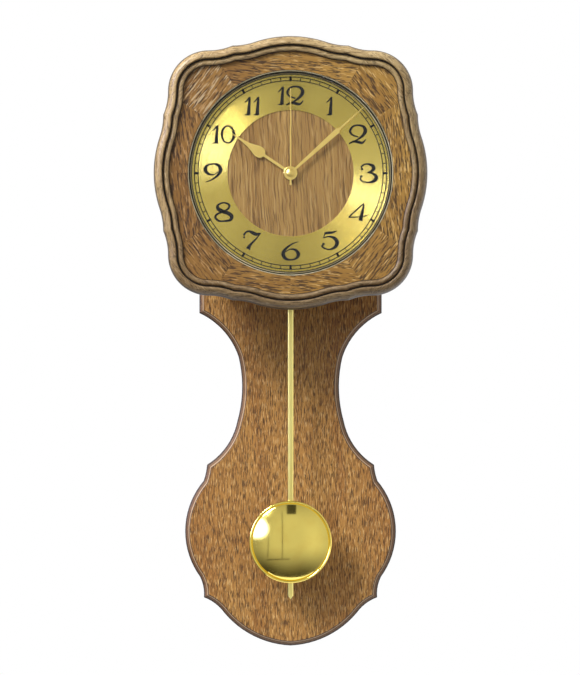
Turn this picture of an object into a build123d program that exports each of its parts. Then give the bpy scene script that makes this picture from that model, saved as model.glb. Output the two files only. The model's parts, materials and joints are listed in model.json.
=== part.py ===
from build123d import *
import os
from math import cos, radians, sin

# Wall clock with a pendulum.  Millimetres, +Z up, +X right, the front faces -Y and the wall lies at y = 0.
# The origin is the centre of the hanging hole, in the plane of the wall.
# "Out" is the distance out from the wall, and x, z in a sketch are counted from the axis of the hands.

os.makedirs("parts", exist_ok=True)

# ---- driving dimensions --------------------------------------------------------------------------
axis_below_hanger = 78.0        # from the hanging hole down to the axis of the hands

# depth of each layer, out from the wall
board_front = 18.0
case_front = 77.0               # back of the dial board
dial_front = 83.0
panel_front = 92.0
veneer_thickness = 0.6
frame_front = 98.5
glass_back = 90.0
glass_thickness = 1.8
fitting_gap = 0.1               # let in parts stop this far short of the rebate they sit in

# head outline: a square with a crest on each side, a small cusp each side of it and round corners
crest_half = 121.3
crest_radius = 100.0
crest_turn = 18.5
cusp_offset = 51.5
flat_half = 108.6
corner_radius = 36.0
frame_width = 14.0
rebate_width = 6.0

# case box
case_half_width = 78.0
case_half_height = 88.0
case_wall = 8.0
slot_half_width = 15.0
slot_out = (34.0, 50.0)

# dial
window_radius = 91.0
ring_inner = 56.0
ring_outer = 87.5
ring_thickness = 1.0
centre_thickness = 0.5

# hands, at eight minutes past ten
hour_angle = 304.0
minute_angle = 48.0
second_angle = 0.0
hour_length = 62.0
minute_length = 87.0
second_length = 75.0
hand_sheet = 0.5

# radii of the nested arbors; each runs in the next one's bore with a small clearance
running_gap = 0.06
second_radius = 0.65
minute_radius = 1.6
hour_radius = 2.4
bushing_radius = 4.0

# movement box: half width, bottom, top, back and wall
movement_half = 31.0
movement_bottom = -40.0
movement_top = 30.0
movement_back = 60.5
movement_wall = 1.5

# pendulum
pivot_drop = 48.0
rod_out = 41.0
rod_thickness = 1.6
rod_width = 4.8
rod_tip_drop = 381.0
hook_drop = 76.0
bob_drop = 329.4
bob_radius = 37.1
bob_height = 9.5
sheet = 0.8


# ---- helpers -------------------------------------------------------------------------------------
def facing(out, x=0.0, z=0.0, turn=0.0):
    """A sketch plane facing the viewer, at a distance out from the wall, turned anticlockwise."""
    along = (cos(radians(turn)), 0, sin(radians(turn)))
    return Plane(origin=(x, -out, z - axis_below_hanger), x_dir=along, z_dir=(0, -1, 0))


def save(piece, name):
    piece.part.label = name
    export_step(piece.part, "parts/" + name + ".step")


def disc(out, length, radius, x=0.0, z=0.0, mode=Mode.ADD):
    """A round bar along the depth of the clock."""
    with BuildSketch(facing(out, x, z)) as face:
        Circle(radius)
    extrude(face.sketch, amount=length, mode=mode)


def slab(out, length, low, high, mode=Mode.ADD):
    """A block between two corners (x, z), from one distance out to another."""
    with BuildSketch(facing(out, (low[0] + high[0]) / 2, (low[1] + high[1]) / 2)) as face:
        Rectangle(high[0] - low[0], high[1] - low[1])
    extrude(face.sketch, amount=length, mode=mode)


def toward(start, distance, angle):
    return (start[0] + distance * cos(radians(angle)), start[1] + distance * sin(radians(angle)))


def gear(out, thickness, teeth, module, centre, turn, pinion=False):
    """A toothed disc.  A tooth points along turn; the flanks are thinned for backlash."""
    pitch_radius = teeth * module / 2
    addendum = 0.65 if pinion else 0.75
    widths = (0.42, 0.40, 0.20) if pinion else (0.50, 0.42, 0.18)
    tooth = 180.0 / teeth
    root, tip = pitch_radius - 1.15 * module, pitch_radius + addendum * module
    steps = [(root, -widths[0]), (pitch_radius, -widths[1]), (tip, -widths[2]),
             (tip, widths[2]), (pitch_radius, widths[1]), (root, widths[0])]
    points = []
    for index in range(teeth):
        for radius, share in steps:
            points.append(toward((0, 0), radius, 2 * tooth * index + share * tooth))
    with BuildSketch(facing(out, centre[0], centre[1], turn)) as face:
        with BuildLine():
            Polyline(*points, close=True)
        make_face()
    extrude(face.sketch, amount=thickness)


def head_outline(inset):
    """The serpentine outline of the head, drawn as one eighth and mirrored, then moved inwards."""
    valley_radius = cusp_offset / sin(radians(crest_turn)) - crest_radius
    cusp_height = crest_half - (crest_radius + valley_radius) * (1 - cos(radians(crest_turn)))
    corner_start = flat_half - corner_radius
    with BuildLine() as outline:
        crest = JernArc((0, crest_half), (1, 0), crest_radius, -crest_turn)
        JernArc(crest @ 1, crest % 1, valley_radius, crest_turn)
        TangentArc((corner_start, flat_half), (cusp_offset, cusp_height), tangent=(-1, 0))
        JernArc((corner_start, flat_half), (1, 0), corner_radius, -45)
        mirror(about=Plane((0, 0, 0), x_dir=(1, 1, 0), z_dir=(1, -1, 0)))
        mirror(about=Plane.YZ)
        mirror(about=Plane.XZ)
    make_face(outline.line)
    if inset:
        offset(amount=-inset, kind=Kind.INTERSECTION, mode=Mode.REPLACE)


# ---- where the wheels of the movement stand ------------------------------------------------------
# each pair: teeth of the wheel, teeth of the pinion, module; the distance is half their sum
motion_first = (36, 12, 0.375)      # minute wheel on the minute arbor's pinion
motion_second = (40, 10, 0.36)      # hour wheel on the minute wheel's pinion
seconds_stage = (40, 8, 0.36)       # seconds wheel on the intermediate pinion
rotor_stage = (48, 8, 0.26)         # intermediate wheel on the rotor's pinion
third_stage = (64, 8, 9.6 / 36)     # third wheel on the seconds pinion
centre_stage = (60, 8, 9.6 / 34)    # centre wheel on the third pinion


def spacing(stage):
    return (stage[0] + stage[1]) * stage[2] / 2


hub = (0.0, 0.0)
minute_wheel_side = 135.0
third_side = 225.0
intermediate_side = 0.0
rotor_side = -37.7
minute_wheel_centre = toward(hub, spacing(motion_first), minute_wheel_side)
setting_centre = toward(minute_wheel_centre, spacing(motion_first), minute_wheel_side)
third_centre = toward(hub, spacing(third_stage), third_side)
intermediate_centre = toward(hub, spacing(seconds_stage), intermediate_side)
rotor_centre = toward(intermediate_centre, spacing(rotor_stage), rotor_side)
post_centres = [(-18.0, 0.0), (6.0, -17.0), (12.0, 12.0)]

pivot_radius = 0.4
pivot_gap = 0.05
third_radius = 0.45
setting_radius = 1.0
train_plate_front = 61.5
middle_plate_back = 65.3
middle_plate_front = 66.0
front_wall_back = case_front - movement_wall


def half_step(teeth):
    """Half a tooth pitch, so that a gap instead of a tooth faces the meshing gear."""
    return 180.0 / teeth


# ---- back board: waisted between the head and the pendulum's lobe, cusps above and below the lobe 
board_top = 100.0
board_bevel = 4.5
board_corner = 12.0
shoulder_half = 82.6
service_size = (100.0, 120.0)
service_middle = -15.0
service_corner = 8.0
screw_x = case_half_width - case_wall / 2
screw_z = 60.0
screw_radius = 1.9
counterbore_radius = 3.9
counterbore_depth = 2.6
pad_places = [(-38.0, -385.0), (38.0, -385.0)]
pad_radius = 7.0
pad_thickness = 1.5
hanger_plate_low = (-20.0, axis_below_hanger - 10)
hanger_plate_high = (20.0, axis_below_hanger + 16)
hanger_plate_thickness = 1.5
hanger_screws_z = axis_below_hanger + 3
hanger_screws_x = 15.0
hanger_screw_radius = 1.4
hanger_screw_depth = 12.0
hanger_hole_depth = 12.5
hanger_head_radius = 2.8
hanger_head_height = 0.8
nail_room_depth = 9.0
nail_room_low = (-7.0, axis_below_hanger - 6)
nail_room_high = (7.0, axis_below_hanger + 13)
keyhole_radius = 4.5
keyhole_slot = 2.2
keyhole_rise = 9.0


def board_outline():
    """Half of the board's outline from the top down to its lowest point, mirrored."""
    with BuildLine() as outline:
        top = Line((0, board_top), (shoulder_half - board_corner, board_top))
        corner = JernArc(top @ 1, (1, 0), board_corner, -90)
        side = Line(corner @ 1, (shoulder_half, -123.7))
        shoulder = ThreePointArc(side @ 1, (58.0, -143.1), (47.1, -163.4))
        waist = ThreePointArc(shoulder @ 1, (43.9, -191.6), (48.2, -221.5))
        flare = ThreePointArc(waist @ 1, (59.4, -246.4), (75.7, -261.4))
        upper_cusp = ThreePointArc(flare @ 1, (76.6, -267.9), (78.8, -275.8))
        lobe = ThreePointArc(upper_cusp @ 1, (95.5, -319.4), (81.9, -362.9))
        lower_cusp = ThreePointArc(lobe @ 1, (79.1, -371.3), (78.5, -381.4))
        scoop = ThreePointArc(lower_cusp @ 1, (67.6, -387.5), (59.9, -395.6))
        ThreePointArc(scoop @ 1, (32.5, -416.9), (0, -425.1))
        mirror(about=Plane.YZ)
    make_face(outline.line)


with BuildPart() as back_board:
    with BuildSketch(facing(0)):
        board_outline()
    extrude(amount=board_front - board_bevel)
    with BuildSketch(facing(board_front - board_bevel)):
        board_outline()
    extrude(amount=board_bevel, taper=45)
    with BuildSketch(facing(0, 0, service_middle)):
        RectangleRounded(service_size[0], service_size[1], service_corner)
    extrude(amount=board_front, mode=Mode.SUBTRACT)
    slab(0, hanger_plate_thickness, hanger_plate_low, hanger_plate_high, Mode.SUBTRACT)
    slab(0, nail_room_depth, nail_room_low, nail_room_high, Mode.SUBTRACT)
    for place in pad_places:
        disc(0, pad_thickness, pad_radius, place[0], place[1], Mode.SUBTRACT)
    for side_sign in (-1, 1):
        disc(0, hanger_hole_depth, hanger_screw_radius, hanger_screws_x * side_sign,
             hanger_screws_z, Mode.SUBTRACT)
        for height_sign in (-1, 1):
            disc(0, board_front, screw_radius, screw_x * side_sign, screw_z * height_sign, Mode.SUBTRACT)
            disc(0, counterbore_depth, counterbore_radius, screw_x * side_sign,
                 screw_z * height_sign, Mode.SUBTRACT)
save(back_board, "back_board")

with BuildPart() as hanger_plate:
    slab(0, hanger_plate_thickness, hanger_plate_low, hanger_plate_high)
    disc(0, hanger_plate_thickness, keyhole_radius, 0, axis_below_hanger, Mode.SUBTRACT)
    slab(0, hanger_plate_thickness, (-keyhole_slot, axis_below_hanger),
         (keyhole_slot, axis_below_hanger + keyhole_rise), Mode.SUBTRACT)
    disc(0, hanger_plate_thickness, keyhole_slot, 0, axis_below_hanger + keyhole_rise, Mode.SUBTRACT)
    for side_sign in (-1, 1):
        disc(0, hanger_plate_thickness, hanger_screw_radius, hanger_screws_x * side_sign,
             hanger_screws_z, Mode.SUBTRACT)
        disc(0, hanger_head_height, hanger_head_radius, hanger_screws_x * side_sign,
             hanger_screws_z, Mode.SUBTRACT)
save(hanger_plate, "hanger_plate")

with BuildPart() as hanger_screws:
    for side_sign in (-1, 1):
        disc(0, hanger_screw_depth, hanger_screw_radius, hanger_screws_x * side_sign, hanger_screws_z)
        disc(0, hanger_head_height, hanger_head_radius, hanger_screws_x * side_sign, hanger_screws_z)
save(hanger_screws, "hanger_screws")

with BuildPart() as wall_pads:
    for place in pad_places:
        disc(0, pad_thickness, pad_radius, place[0], place[1])
save(wall_pads, "wall_pads")

# ---- case box between the board and the dial board -----------------------------------------------
inner_half = case_half_width - case_wall
case_depth = case_front - board_front
case_hole_depth = 24.0
slot_low = (-slot_half_width, -case_half_height - 1)
slot_high = (slot_half_width, case_wall - case_half_height + 1)

for side_sign, name in ((-1, "case_left"), (1, "case_right")):
    with BuildPart() as case_side:
        edges = sorted((inner_half * side_sign, case_half_width * side_sign))
        slab(board_front, case_depth, (edges[0], -case_half_height), (edges[1], case_half_height))
        for height_sign in (-1, 1):
            disc(board_front, case_hole_depth, screw_radius, screw_x * side_sign, screw_z * height_sign,
                 Mode.SUBTRACT)
    save(case_side, name)

with BuildPart() as case_top:
    slab(board_front, case_depth, (-inner_half, case_half_height - case_wall), (inner_half, case_half_height))
save(case_top, "case_top")

with BuildPart() as case_bottom:
    slab(board_front, case_depth, (-inner_half, -case_half_height),
         (inner_half, case_wall - case_half_height))
    slab(slot_out[0], slot_out[1] - slot_out[0], slot_low, slot_high, Mode.SUBTRACT)
save(case_bottom, "case_bottom")

block_leg = 18.0
block_gap = 2.0
with BuildPart() as corner_blocks:
    for side_sign in (-1, 1):
        for height_sign in (-1, 1):
            corner_x = inner_half * side_sign
            corner_z = (case_half_height - case_wall) * height_sign
            with BuildSketch(facing(board_front + block_gap)):
                with BuildLine():
                    Polyline((corner_x, corner_z), (corner_x - block_leg * side_sign, corner_z),
                             (corner_x, corner_z - block_leg * height_sign), close=True)
                make_face()
            extrude(amount=case_depth - 2 * block_gap)
save(corner_blocks, "corner_blocks")

case_screw_out = 0.5
case_screw_length = 38.0
case_head_height = 2.1
case_head_radius = 3.8
with BuildPart() as case_screws:
    for side_sign in (-1, 1):
        for height_sign in (-1, 1):
            disc(case_screw_out, case_screw_length, screw_radius, screw_x * side_sign, screw_z * height_sign)
            disc(case_screw_out, case_head_height, case_head_radius, screw_x * side_sign,
                 screw_z * height_sign)
save(case_screws, "case_screws")

# ---- head: dial board, moulded frame, panel and veneers ------------------------------------------
frame_screw_offset = 111.0
frame_screw_radius = 1.5
frame_screw_length = 14.0
frame_hole_depth = 8.2          # in the frame, beyond the dial board
frame_head_height = 1.6
frame_head_radius = 3.0
frame_round = 7.0
quirk_inset = 9.0
quirk_width = 1.0
inner_step_front = 95.0

with BuildPart() as dial_board:
    with BuildSketch(facing(case_front)):
        head_outline(rebate_width + fitting_gap)
    extrude(amount=dial_front - case_front)
    disc(case_front, dial_front - case_front, bushing_radius, mode=Mode.SUBTRACT)
    for place in PolarLocations(frame_screw_offset, 4):
        disc(case_front, dial_front - case_front, frame_screw_radius, place.position.X, place.position.Y,
             Mode.SUBTRACT)
save(dial_board, "dial_board")

with BuildPart() as frame_screws:
    for place in PolarLocations(frame_screw_offset, 4):
        disc(case_front, frame_screw_length, frame_screw_radius, place.position.X, place.position.Y)
        disc(case_front - frame_head_height, frame_head_height, frame_head_radius, place.position.X,
             place.position.Y)
save(frame_screws, "frame_screws")

with BuildPart() as front_frame:
    with BuildSketch(facing(case_front)):
        head_outline(0)
    extrude(amount=frame_front - case_front)
    fillet(front_frame.faces().sort_by(Axis.Y)[0].edges(), radius=frame_round)
    with BuildSketch(facing(case_front)):
        head_outline(rebate_width)
    extrude(amount=dial_front - case_front, mode=Mode.SUBTRACT)
    # the quirk groove between the broad outer band and the lower inner step
    with BuildSketch(facing(panel_front)):
        head_outline(quirk_inset)
    extrude(amount=frame_front - panel_front, mode=Mode.SUBTRACT)
    with BuildSketch(facing(panel_front)):
        head_outline(quirk_inset + quirk_width)
    extrude(amount=inner_step_front - panel_front)
    with BuildSketch(facing(dial_front)):
        head_outline(frame_width)
    extrude(amount=frame_front - dial_front, mode=Mode.SUBTRACT)
    for place in PolarLocations(frame_screw_offset, 4):
        disc(dial_front, frame_hole_depth, frame_screw_radius, place.position.X, place.position.Y,
             Mode.SUBTRACT)
save(front_frame, "front_frame")

with BuildPart() as front_panel:
    with BuildSketch(facing(dial_front)):
        head_outline(frame_width + fitting_gap / 2)
    extrude(amount=panel_front - dial_front)
    disc(dial_front, panel_front - dial_front, window_radius, mode=Mode.SUBTRACT)
save(front_panel, "front_panel")

# eight leaves with seams each side of the upright, the level and the corners
seam_angles = (33.0, 57.0, -33.0, -57.0)
seam_width = 0.12
with BuildPart() as face_veneers:
    with BuildSketch(facing(panel_front)):
        head_outline(frame_width + fitting_gap)
    extrude(amount=veneer_thickness)
    disc(panel_front, veneer_thickness, window_radius, mode=Mode.SUBTRACT)
    for angle in seam_angles:
        with BuildSketch(facing(panel_front, turn=angle)):
            Rectangle(seam_width, 4 * crest_half)
        extrude(amount=veneer_thickness, mode=Mode.SUBTRACT)
save(face_veneers, "face_veneers")

# ---- dial and glass ------------------------------------------------------------------------------
with BuildPart() as numeral_ring:
    disc(dial_front, ring_thickness, ring_outer)
    disc(dial_front, ring_thickness, ring_inner, mode=Mode.SUBTRACT)
save(numeral_ring, "numeral_ring")

with BuildPart() as dial_centre:
    disc(dial_front, centre_thickness, ring_inner)
    disc(dial_front, centre_thickness, bushing_radius, mode=Mode.SUBTRACT)
save(dial_centre, "dial_centre")

glass_ring_depth = 3.5
glass_ring_wall = 1.5
glass_ring_radius = window_radius - fitting_gap
with BuildPart() as glass_ring:
    disc(glass_back - glass_ring_depth, glass_ring_depth, glass_ring_radius)
    disc(glass_back - glass_ring_depth, glass_ring_depth, glass_ring_radius - glass_ring_wall,
         mode=Mode.SUBTRACT)
save(glass_ring, "glass_ring")

with BuildPart() as dial_glass:
    disc(glass_back, glass_thickness, window_radius - 2 * fitting_gap)
save(dial_glass, "dial_glass")

# ---- bushing and its washers and nut -------------------------------------------------------------
bushing_end = 85.4
rubber_washer_out = dial_front + centre_thickness
brass_washer_out = rubber_washer_out + 0.4
nut_out = brass_washer_out + 0.3
bushing_flange_back = 74.7
bushing_flange_radius = 7.0
rubber_radius = 6.2
washer_radius = 6.0
nut_radius = 5.6

with BuildPart() as threaded_bushing:
    disc(bushing_flange_back, front_wall_back - bushing_flange_back, bushing_flange_radius)
    disc(bushing_flange_back, bushing_end - bushing_flange_back, bushing_radius)
    disc(bushing_flange_back, bushing_end - bushing_flange_back, hour_radius + running_gap,
         mode=Mode.SUBTRACT)
save(threaded_bushing, "threaded_bushing")

with BuildPart() as rubber_washer:
    disc(rubber_washer_out, brass_washer_out - rubber_washer_out, rubber_radius)
    disc(rubber_washer_out, brass_washer_out - rubber_washer_out, bushing_radius, mode=Mode.SUBTRACT)
save(rubber_washer, "rubber_washer")

with BuildPart() as brass_washer:
    disc(brass_washer_out, nut_out - brass_washer_out, washer_radius)
    disc(brass_washer_out, nut_out - brass_washer_out, bushing_radius, mode=Mode.SUBTRACT)
save(brass_washer, "brass_washer")

with BuildPart() as hand_nut:
    with BuildSketch(facing(nut_out)):
        RegularPolygon(nut_radius, 6)
    extrude(amount=bushing_end - nut_out)
    disc(nut_out, bushing_end - nut_out, bushing_radius, mode=Mode.SUBTRACT)
save(hand_nut, "hand_nut")

# ---- hands, each drawn pointing up and turned to its time ----------------------------------------
hour_out = 85.7
minute_out = 86.9
second_out = 88.1
hour_hub = 5.0
minute_hub = 6.1
second_hub = 3.75
second_tail = 10.6
second_sheet = 0.3
cap_height = 1.2


def half_hand(line_points):
    """A straight half outline from the hub to the tip, mirrored about the hand's centre line."""
    with BuildLine() as outline:
        Polyline(*line_points)
        mirror(about=Plane.YZ)
    make_face(outline.line)


with BuildPart() as hour_hand:
    with BuildSketch(facing(hour_out, turn=-hour_angle)):
        with BuildLine():
            stem = Polyline((0, 0), (1.2, 0), (1.2, 28.0))
            leaf = ThreePointArc(stem @ 1, (4.2, 30.2), (5.0, 34.5))
            taper = ThreePointArc(leaf @ 1, (1.9, 45.0), (0.35, hour_length))
            Line(taper @ 1, (0, hour_length))
            mirror(about=Plane.YZ)
        make_face()
        Circle(hour_hub)
    extrude(amount=hand_sheet)
    disc(hour_out, hand_sheet, hour_radius, mode=Mode.SUBTRACT)
save(hour_hand, "hour_hand")

with BuildPart() as minute_hand:
    with BuildSketch(facing(minute_out, turn=-minute_angle)):
        half_hand([(0, 0), (0.9, 0), (2.4, 55.5), (2.4, 56.5), (1.2, 57.5), (0.8, 60.0),
                   (0.25, minute_length), (0, minute_length)])
        Circle(minute_hub)
    extrude(amount=hand_sheet)
    disc(minute_out, hand_sheet, minute_radius, mode=Mode.SUBTRACT)
save(minute_hand, "minute_hand")

with BuildPart() as second_hand:
    with BuildSketch(facing(second_out, turn=-second_angle)):
        half_hand([(0, -second_tail), (1.0, -second_tail), (0.6, 0), (0.45, second_length),
                   (0, second_length)])
        Circle(second_hub)
    extrude(amount=second_sheet)
    disc(second_out, second_sheet, second_radius, mode=Mode.SUBTRACT)
save(second_hand, "second_hand")

with BuildPart() as second_cap:
    with BuildSketch(Plane(origin=(0, -second_out - second_sheet, -axis_below_hanger), x_dir=(1, 0, 0),
                           z_dir=(0, 0, 1))):
        with BuildLine():
            Polyline((0, -cap_height), (0, 0), (second_hub, 0))
            TangentArc((0, -cap_height), (second_hub, 0), tangent=(1, 0))
        make_face()
    revolve(axis=Axis((0, 0, -axis_below_hanger), (0, 1, 0)))
    disc(second_out, 2 * second_sheet, second_radius, mode=Mode.SUBTRACT)
save(second_cap, "second_cap")

# ---- motion work: minute arbor, minute wheel, hour wheel -----------------------------------------
minute_pinion_out = 70.5
minute_pinion_length = 1.6
minute_arbor_back = 67.8
minute_arbor_length = 19.8
with BuildPart() as minute_arbor:
    gear(minute_pinion_out, minute_pinion_length, motion_first[1], motion_first[2], hub, minute_wheel_side,
         pinion=True)
    disc(minute_arbor_back, minute_arbor_length, minute_radius)
    disc(minute_arbor_back, minute_arbor_length, second_radius + running_gap, mode=Mode.SUBTRACT)
save(minute_arbor, "minute_arbor")

stud_radius = 0.8
minute_wheel_out = 70.8
minute_wheel_sheet = 0.9
hour_pinion_out = minute_wheel_out + minute_wheel_sheet
hour_pinion_length = 2.8
with BuildPart() as minute_wheel:
    gear(minute_wheel_out, minute_wheel_sheet, motion_first[0], motion_first[2], minute_wheel_centre,
         minute_wheel_side + half_step(motion_first[0]))
    gear(hour_pinion_out, hour_pinion_length, motion_second[1], motion_second[2], minute_wheel_centre,
         minute_wheel_side + 180, pinion=True)
    disc(minute_wheel_out, minute_wheel_sheet + hour_pinion_length, stud_radius + running_gap,
         minute_wheel_centre[0], minute_wheel_centre[1], Mode.SUBTRACT)
save(minute_wheel, "minute_wheel")

hour_wheel_out = 73.0
hour_wheel_sheet = 1.0
hour_boss_radius = 3.2
hour_boss_length = 1.9
hour_arbor_back = 72.5
hour_arbor_length = 13.9
with BuildPart() as hour_wheel:
    gear(hour_wheel_out, hour_wheel_sheet, motion_second[0], motion_second[2], hub,
         minute_wheel_side + half_step(motion_second[0]))
    disc(hour_arbor_back, hour_boss_length, hour_boss_radius)
    disc(hour_arbor_back, hour_arbor_length, hour_radius)
    disc(hour_arbor_back, hour_arbor_length, minute_radius + running_gap, mode=Mode.SUBTRACT)
save(hour_wheel, "hour_wheel")

# ---- going train: rotor, intermediate, seconds, third and centre wheels --------------------------
wheel_sheet = 0.8
pivot_back = 60.8               # rear ends of the pivots in the train plate
pivot_length = 1.2
train_arbor_length = 5.1
second_wheel_out = 64.0
third_pinion_out = 66.2
third_pinion_length = 1.3
second_arbor_back = 61.7
second_arbor_length = 27.0
with BuildPart() as second_arbor:
    gear(second_wheel_out, wheel_sheet, seconds_stage[0], seconds_stage[2], hub,
         intermediate_side + half_step(seconds_stage[0]))
    gear(third_pinion_out, third_pinion_length, third_stage[1], third_stage[2], hub, third_side, pinion=True)
    disc(pivot_back, pivot_length, pivot_radius)
    disc(second_arbor_back, second_arbor_length, second_radius)
save(second_arbor, "second_arbor")

intermediate_wheel_out = 62.2
seconds_pinion_length = 2.0
with BuildPart() as intermediate_wheel:
    gear(intermediate_wheel_out, wheel_sheet, rotor_stage[0], rotor_stage[2], intermediate_centre,
         rotor_side + half_step(rotor_stage[0]))
    gear(intermediate_wheel_out + wheel_sheet, seconds_pinion_length, seconds_stage[1], seconds_stage[2],
         intermediate_centre, intermediate_side + 180, pinion=True)
    disc(pivot_back, train_arbor_length, pivot_radius, intermediate_centre[0], intermediate_centre[1])
save(intermediate_wheel, "intermediate_wheel")

rotor_pinion_out = 61.9
rotor_pinion_length = 1.3
with BuildPart() as rotor:
    gear(rotor_pinion_out, rotor_pinion_length, rotor_stage[1], rotor_stage[2], rotor_centre,
         rotor_side + 180, pinion=True)
    disc(pivot_back, train_arbor_length, pivot_radius, rotor_centre[0], rotor_centre[1])
save(rotor, "rotor")

rotor_magnet_out = 63.3
rotor_magnet_length = 1.6
rotor_magnet_radius = 2.4
with BuildPart() as rotor_magnet:
    disc(rotor_magnet_out, rotor_magnet_length, rotor_magnet_radius, rotor_centre[0], rotor_centre[1])
    disc(rotor_magnet_out, rotor_magnet_length, pivot_radius, rotor_centre[0], rotor_centre[1], Mode.SUBTRACT)
save(rotor_magnet, "rotor_magnet")

third_wheel_out = 66.4
centre_pinion_out = 68.2
centre_pinion_length = 1.6
third_arbor_back = 65.4
third_arbor_length = 11.0
with BuildPart() as third_wheel:
    gear(third_wheel_out, wheel_sheet, third_stage[0], third_stage[2], third_centre,
         third_side + half_step(third_stage[0]))
    gear(centre_pinion_out, centre_pinion_length, centre_stage[1], centre_stage[2], third_centre,
         third_side + 180, pinion=True)
    disc(third_arbor_back, third_arbor_length, third_radius, third_centre[0], third_centre[1])
save(third_wheel, "third_wheel")

centre_wheel_out = 68.6
centre_boss_back = 68.2
centre_boss_length = 1.9
centre_boss_radius = 2.8
with BuildPart() as centre_wheel:
    gear(centre_wheel_out, wheel_sheet, centre_stage[0], centre_stage[2], hub,
         third_side + half_step(centre_stage[0]))
    disc(centre_boss_back, centre_boss_length, centre_boss_radius)
    disc(centre_boss_back, centre_boss_length, minute_radius + running_gap, mode=Mode.SUBTRACT)
save(centre_wheel, "centre_wheel")

knob_back = 52.5
knob_length = 5.1
knob_radius = 6.0
knob_chamfer = 0.8
setting_arbor_length = 18.8
setting_pinion_out = 70.6
setting_pinion_length = 1.3
with BuildPart() as setting_knob:
    disc(knob_back, knob_length, knob_radius, setting_centre[0], setting_centre[1])
    chamfer(setting_knob.edges().filter_by(GeomType.CIRCLE).sort_by(Axis.Y)[-1:], length=knob_chamfer)
    disc(knob_back + knob_length, setting_arbor_length, setting_radius, setting_centre[0], setting_centre[1])
    gear(setting_pinion_out, setting_pinion_length, motion_first[1], motion_first[2], setting_centre,
         minute_wheel_side + 180, pinion=True)
save(setting_knob, "setting_knob")

# ---- movement case, cover and plates -------------------------------------------------------------
case_low = (-movement_half, movement_bottom)
case_high = (movement_half, movement_top)
post_radius = 1.5
stud_back = 70.3

with BuildPart() as movement_case:
    slab(movement_back, case_front - movement_back, case_low, case_high)
    slab(movement_back, front_wall_back - movement_back,
         (case_low[0] + movement_wall, case_low[1] + movement_wall),
         (case_high[0] - movement_wall, case_high[1] - movement_wall), Mode.SUBTRACT)
    disc(front_wall_back, movement_wall, bushing_radius, mode=Mode.SUBTRACT)
    disc(front_wall_back, movement_wall, third_radius + pivot_gap, third_centre[0], third_centre[1],
         Mode.SUBTRACT)
    disc(front_wall_back, movement_wall, setting_radius + running_gap, setting_centre[0], setting_centre[1],
         Mode.SUBTRACT)
    disc(stud_back, front_wall_back - stud_back, stud_radius, minute_wheel_centre[0], minute_wheel_centre[1])
    for post in post_centres:
        disc(train_plate_front, front_wall_back - train_plate_front, post_radius, post[0], post[1])
save(movement_case, "movement_case")

battery_radius = 7.1
battery_height = -29.5
battery_out = 68.0
battery_door_half = 26.8
battery_door_rise = 7.9
arbor_clearance = 0.3
train_plate_low = (-22.0, -20.0)
train_plate_high = (19.0, 16.0)
middle_plate_low = (-20.5, -19.0)
middle_plate_high = (17.0, 15.0)
second_arbor_hole = 1.0

with BuildPart() as movement_cover:
    slab(movement_back - movement_wall, movement_wall, case_low, case_high)
    slab(movement_back - movement_wall, movement_wall,
         (-battery_door_half, battery_height - battery_door_rise),
         (battery_door_half, battery_height + battery_door_rise), Mode.SUBTRACT)
    disc(movement_back - movement_wall, movement_wall, setting_radius + running_gap, setting_centre[0],
         setting_centre[1], Mode.SUBTRACT)
save(movement_cover, "movement_cover")

with BuildPart() as train_plate:
    slab(movement_back, train_plate_front - movement_back, train_plate_low, train_plate_high)
    for place in (hub, intermediate_centre, rotor_centre):
        disc(movement_back, train_plate_front - movement_back, pivot_radius + pivot_gap, place[0], place[1],
             Mode.SUBTRACT)
    disc(movement_back, train_plate_front - movement_back, setting_radius + arbor_clearance,
         setting_centre[0], setting_centre[1], Mode.SUBTRACT)
save(train_plate, "train_plate")

with BuildPart() as middle_plate:
    slab(middle_plate_back, middle_plate_front - middle_plate_back, middle_plate_low, middle_plate_high)
    holes = [(hub, second_arbor_hole), (intermediate_centre, pivot_radius + pivot_gap),
             (rotor_centre, pivot_radius + pivot_gap), (third_centre, third_radius + pivot_gap),
             (setting_centre, setting_radius + arbor_clearance)]
    holes += [(post, post_radius) for post in post_centres]
    for place, radius in holes:
        disc(middle_plate_back, middle_plate_front - middle_plate_back, radius, place[0], place[1],
             Mode.SUBTRACT)
save(middle_plate, "middle_plate")

# ---- stepping motor, electronics and battery -----------------------------------------------------
stator_out = 63.6
stator_thickness = 0.8
core_left, core_right = 22.0, 26.0
core_middle = (core_left + core_right) / 2
stator_low = (10.8, -19.0)
stator_high = (core_right, 10.0)
stator_window_low = (18.0, -15.0)
stator_window_high = (core_left, 6.0)
stator_bore = 3.0

with BuildPart() as stator:
    slab(stator_out, stator_thickness, stator_low, stator_high)
    slab(stator_out, stator_thickness, stator_window_low, stator_window_high, Mode.SUBTRACT)
    disc(stator_out, stator_thickness, stator_bore, rotor_centre[0], rotor_centre[1], Mode.SUBTRACT)
save(stator, "stator")

bobbin_wall = 0.6
bobbin_out = stator_out - bobbin_wall
bobbin_depth = stator_thickness + 2 * bobbin_wall
bobbin_low, bobbin_high = -14.0, 5.0
flange_thickness = 1.0
flange_half = 4.4
flange_rise = 1.3
with BuildPart() as coil_bobbin:
    slab(bobbin_out, bobbin_depth, (core_left - bobbin_wall, bobbin_low),
         (core_right + bobbin_wall, bobbin_high))
    for low_z in (bobbin_low, bobbin_high - flange_thickness):
        slab(bobbin_out - flange_rise, bobbin_depth + 2 * flange_rise, (core_middle - flange_half, low_z),
             (core_middle + flange_half, low_z + flange_thickness))
    slab(stator_out, stator_thickness, (core_left, bobbin_low), (core_right, bobbin_high), Mode.SUBTRACT)
save(coil_bobbin, "coil_bobbin")

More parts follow.
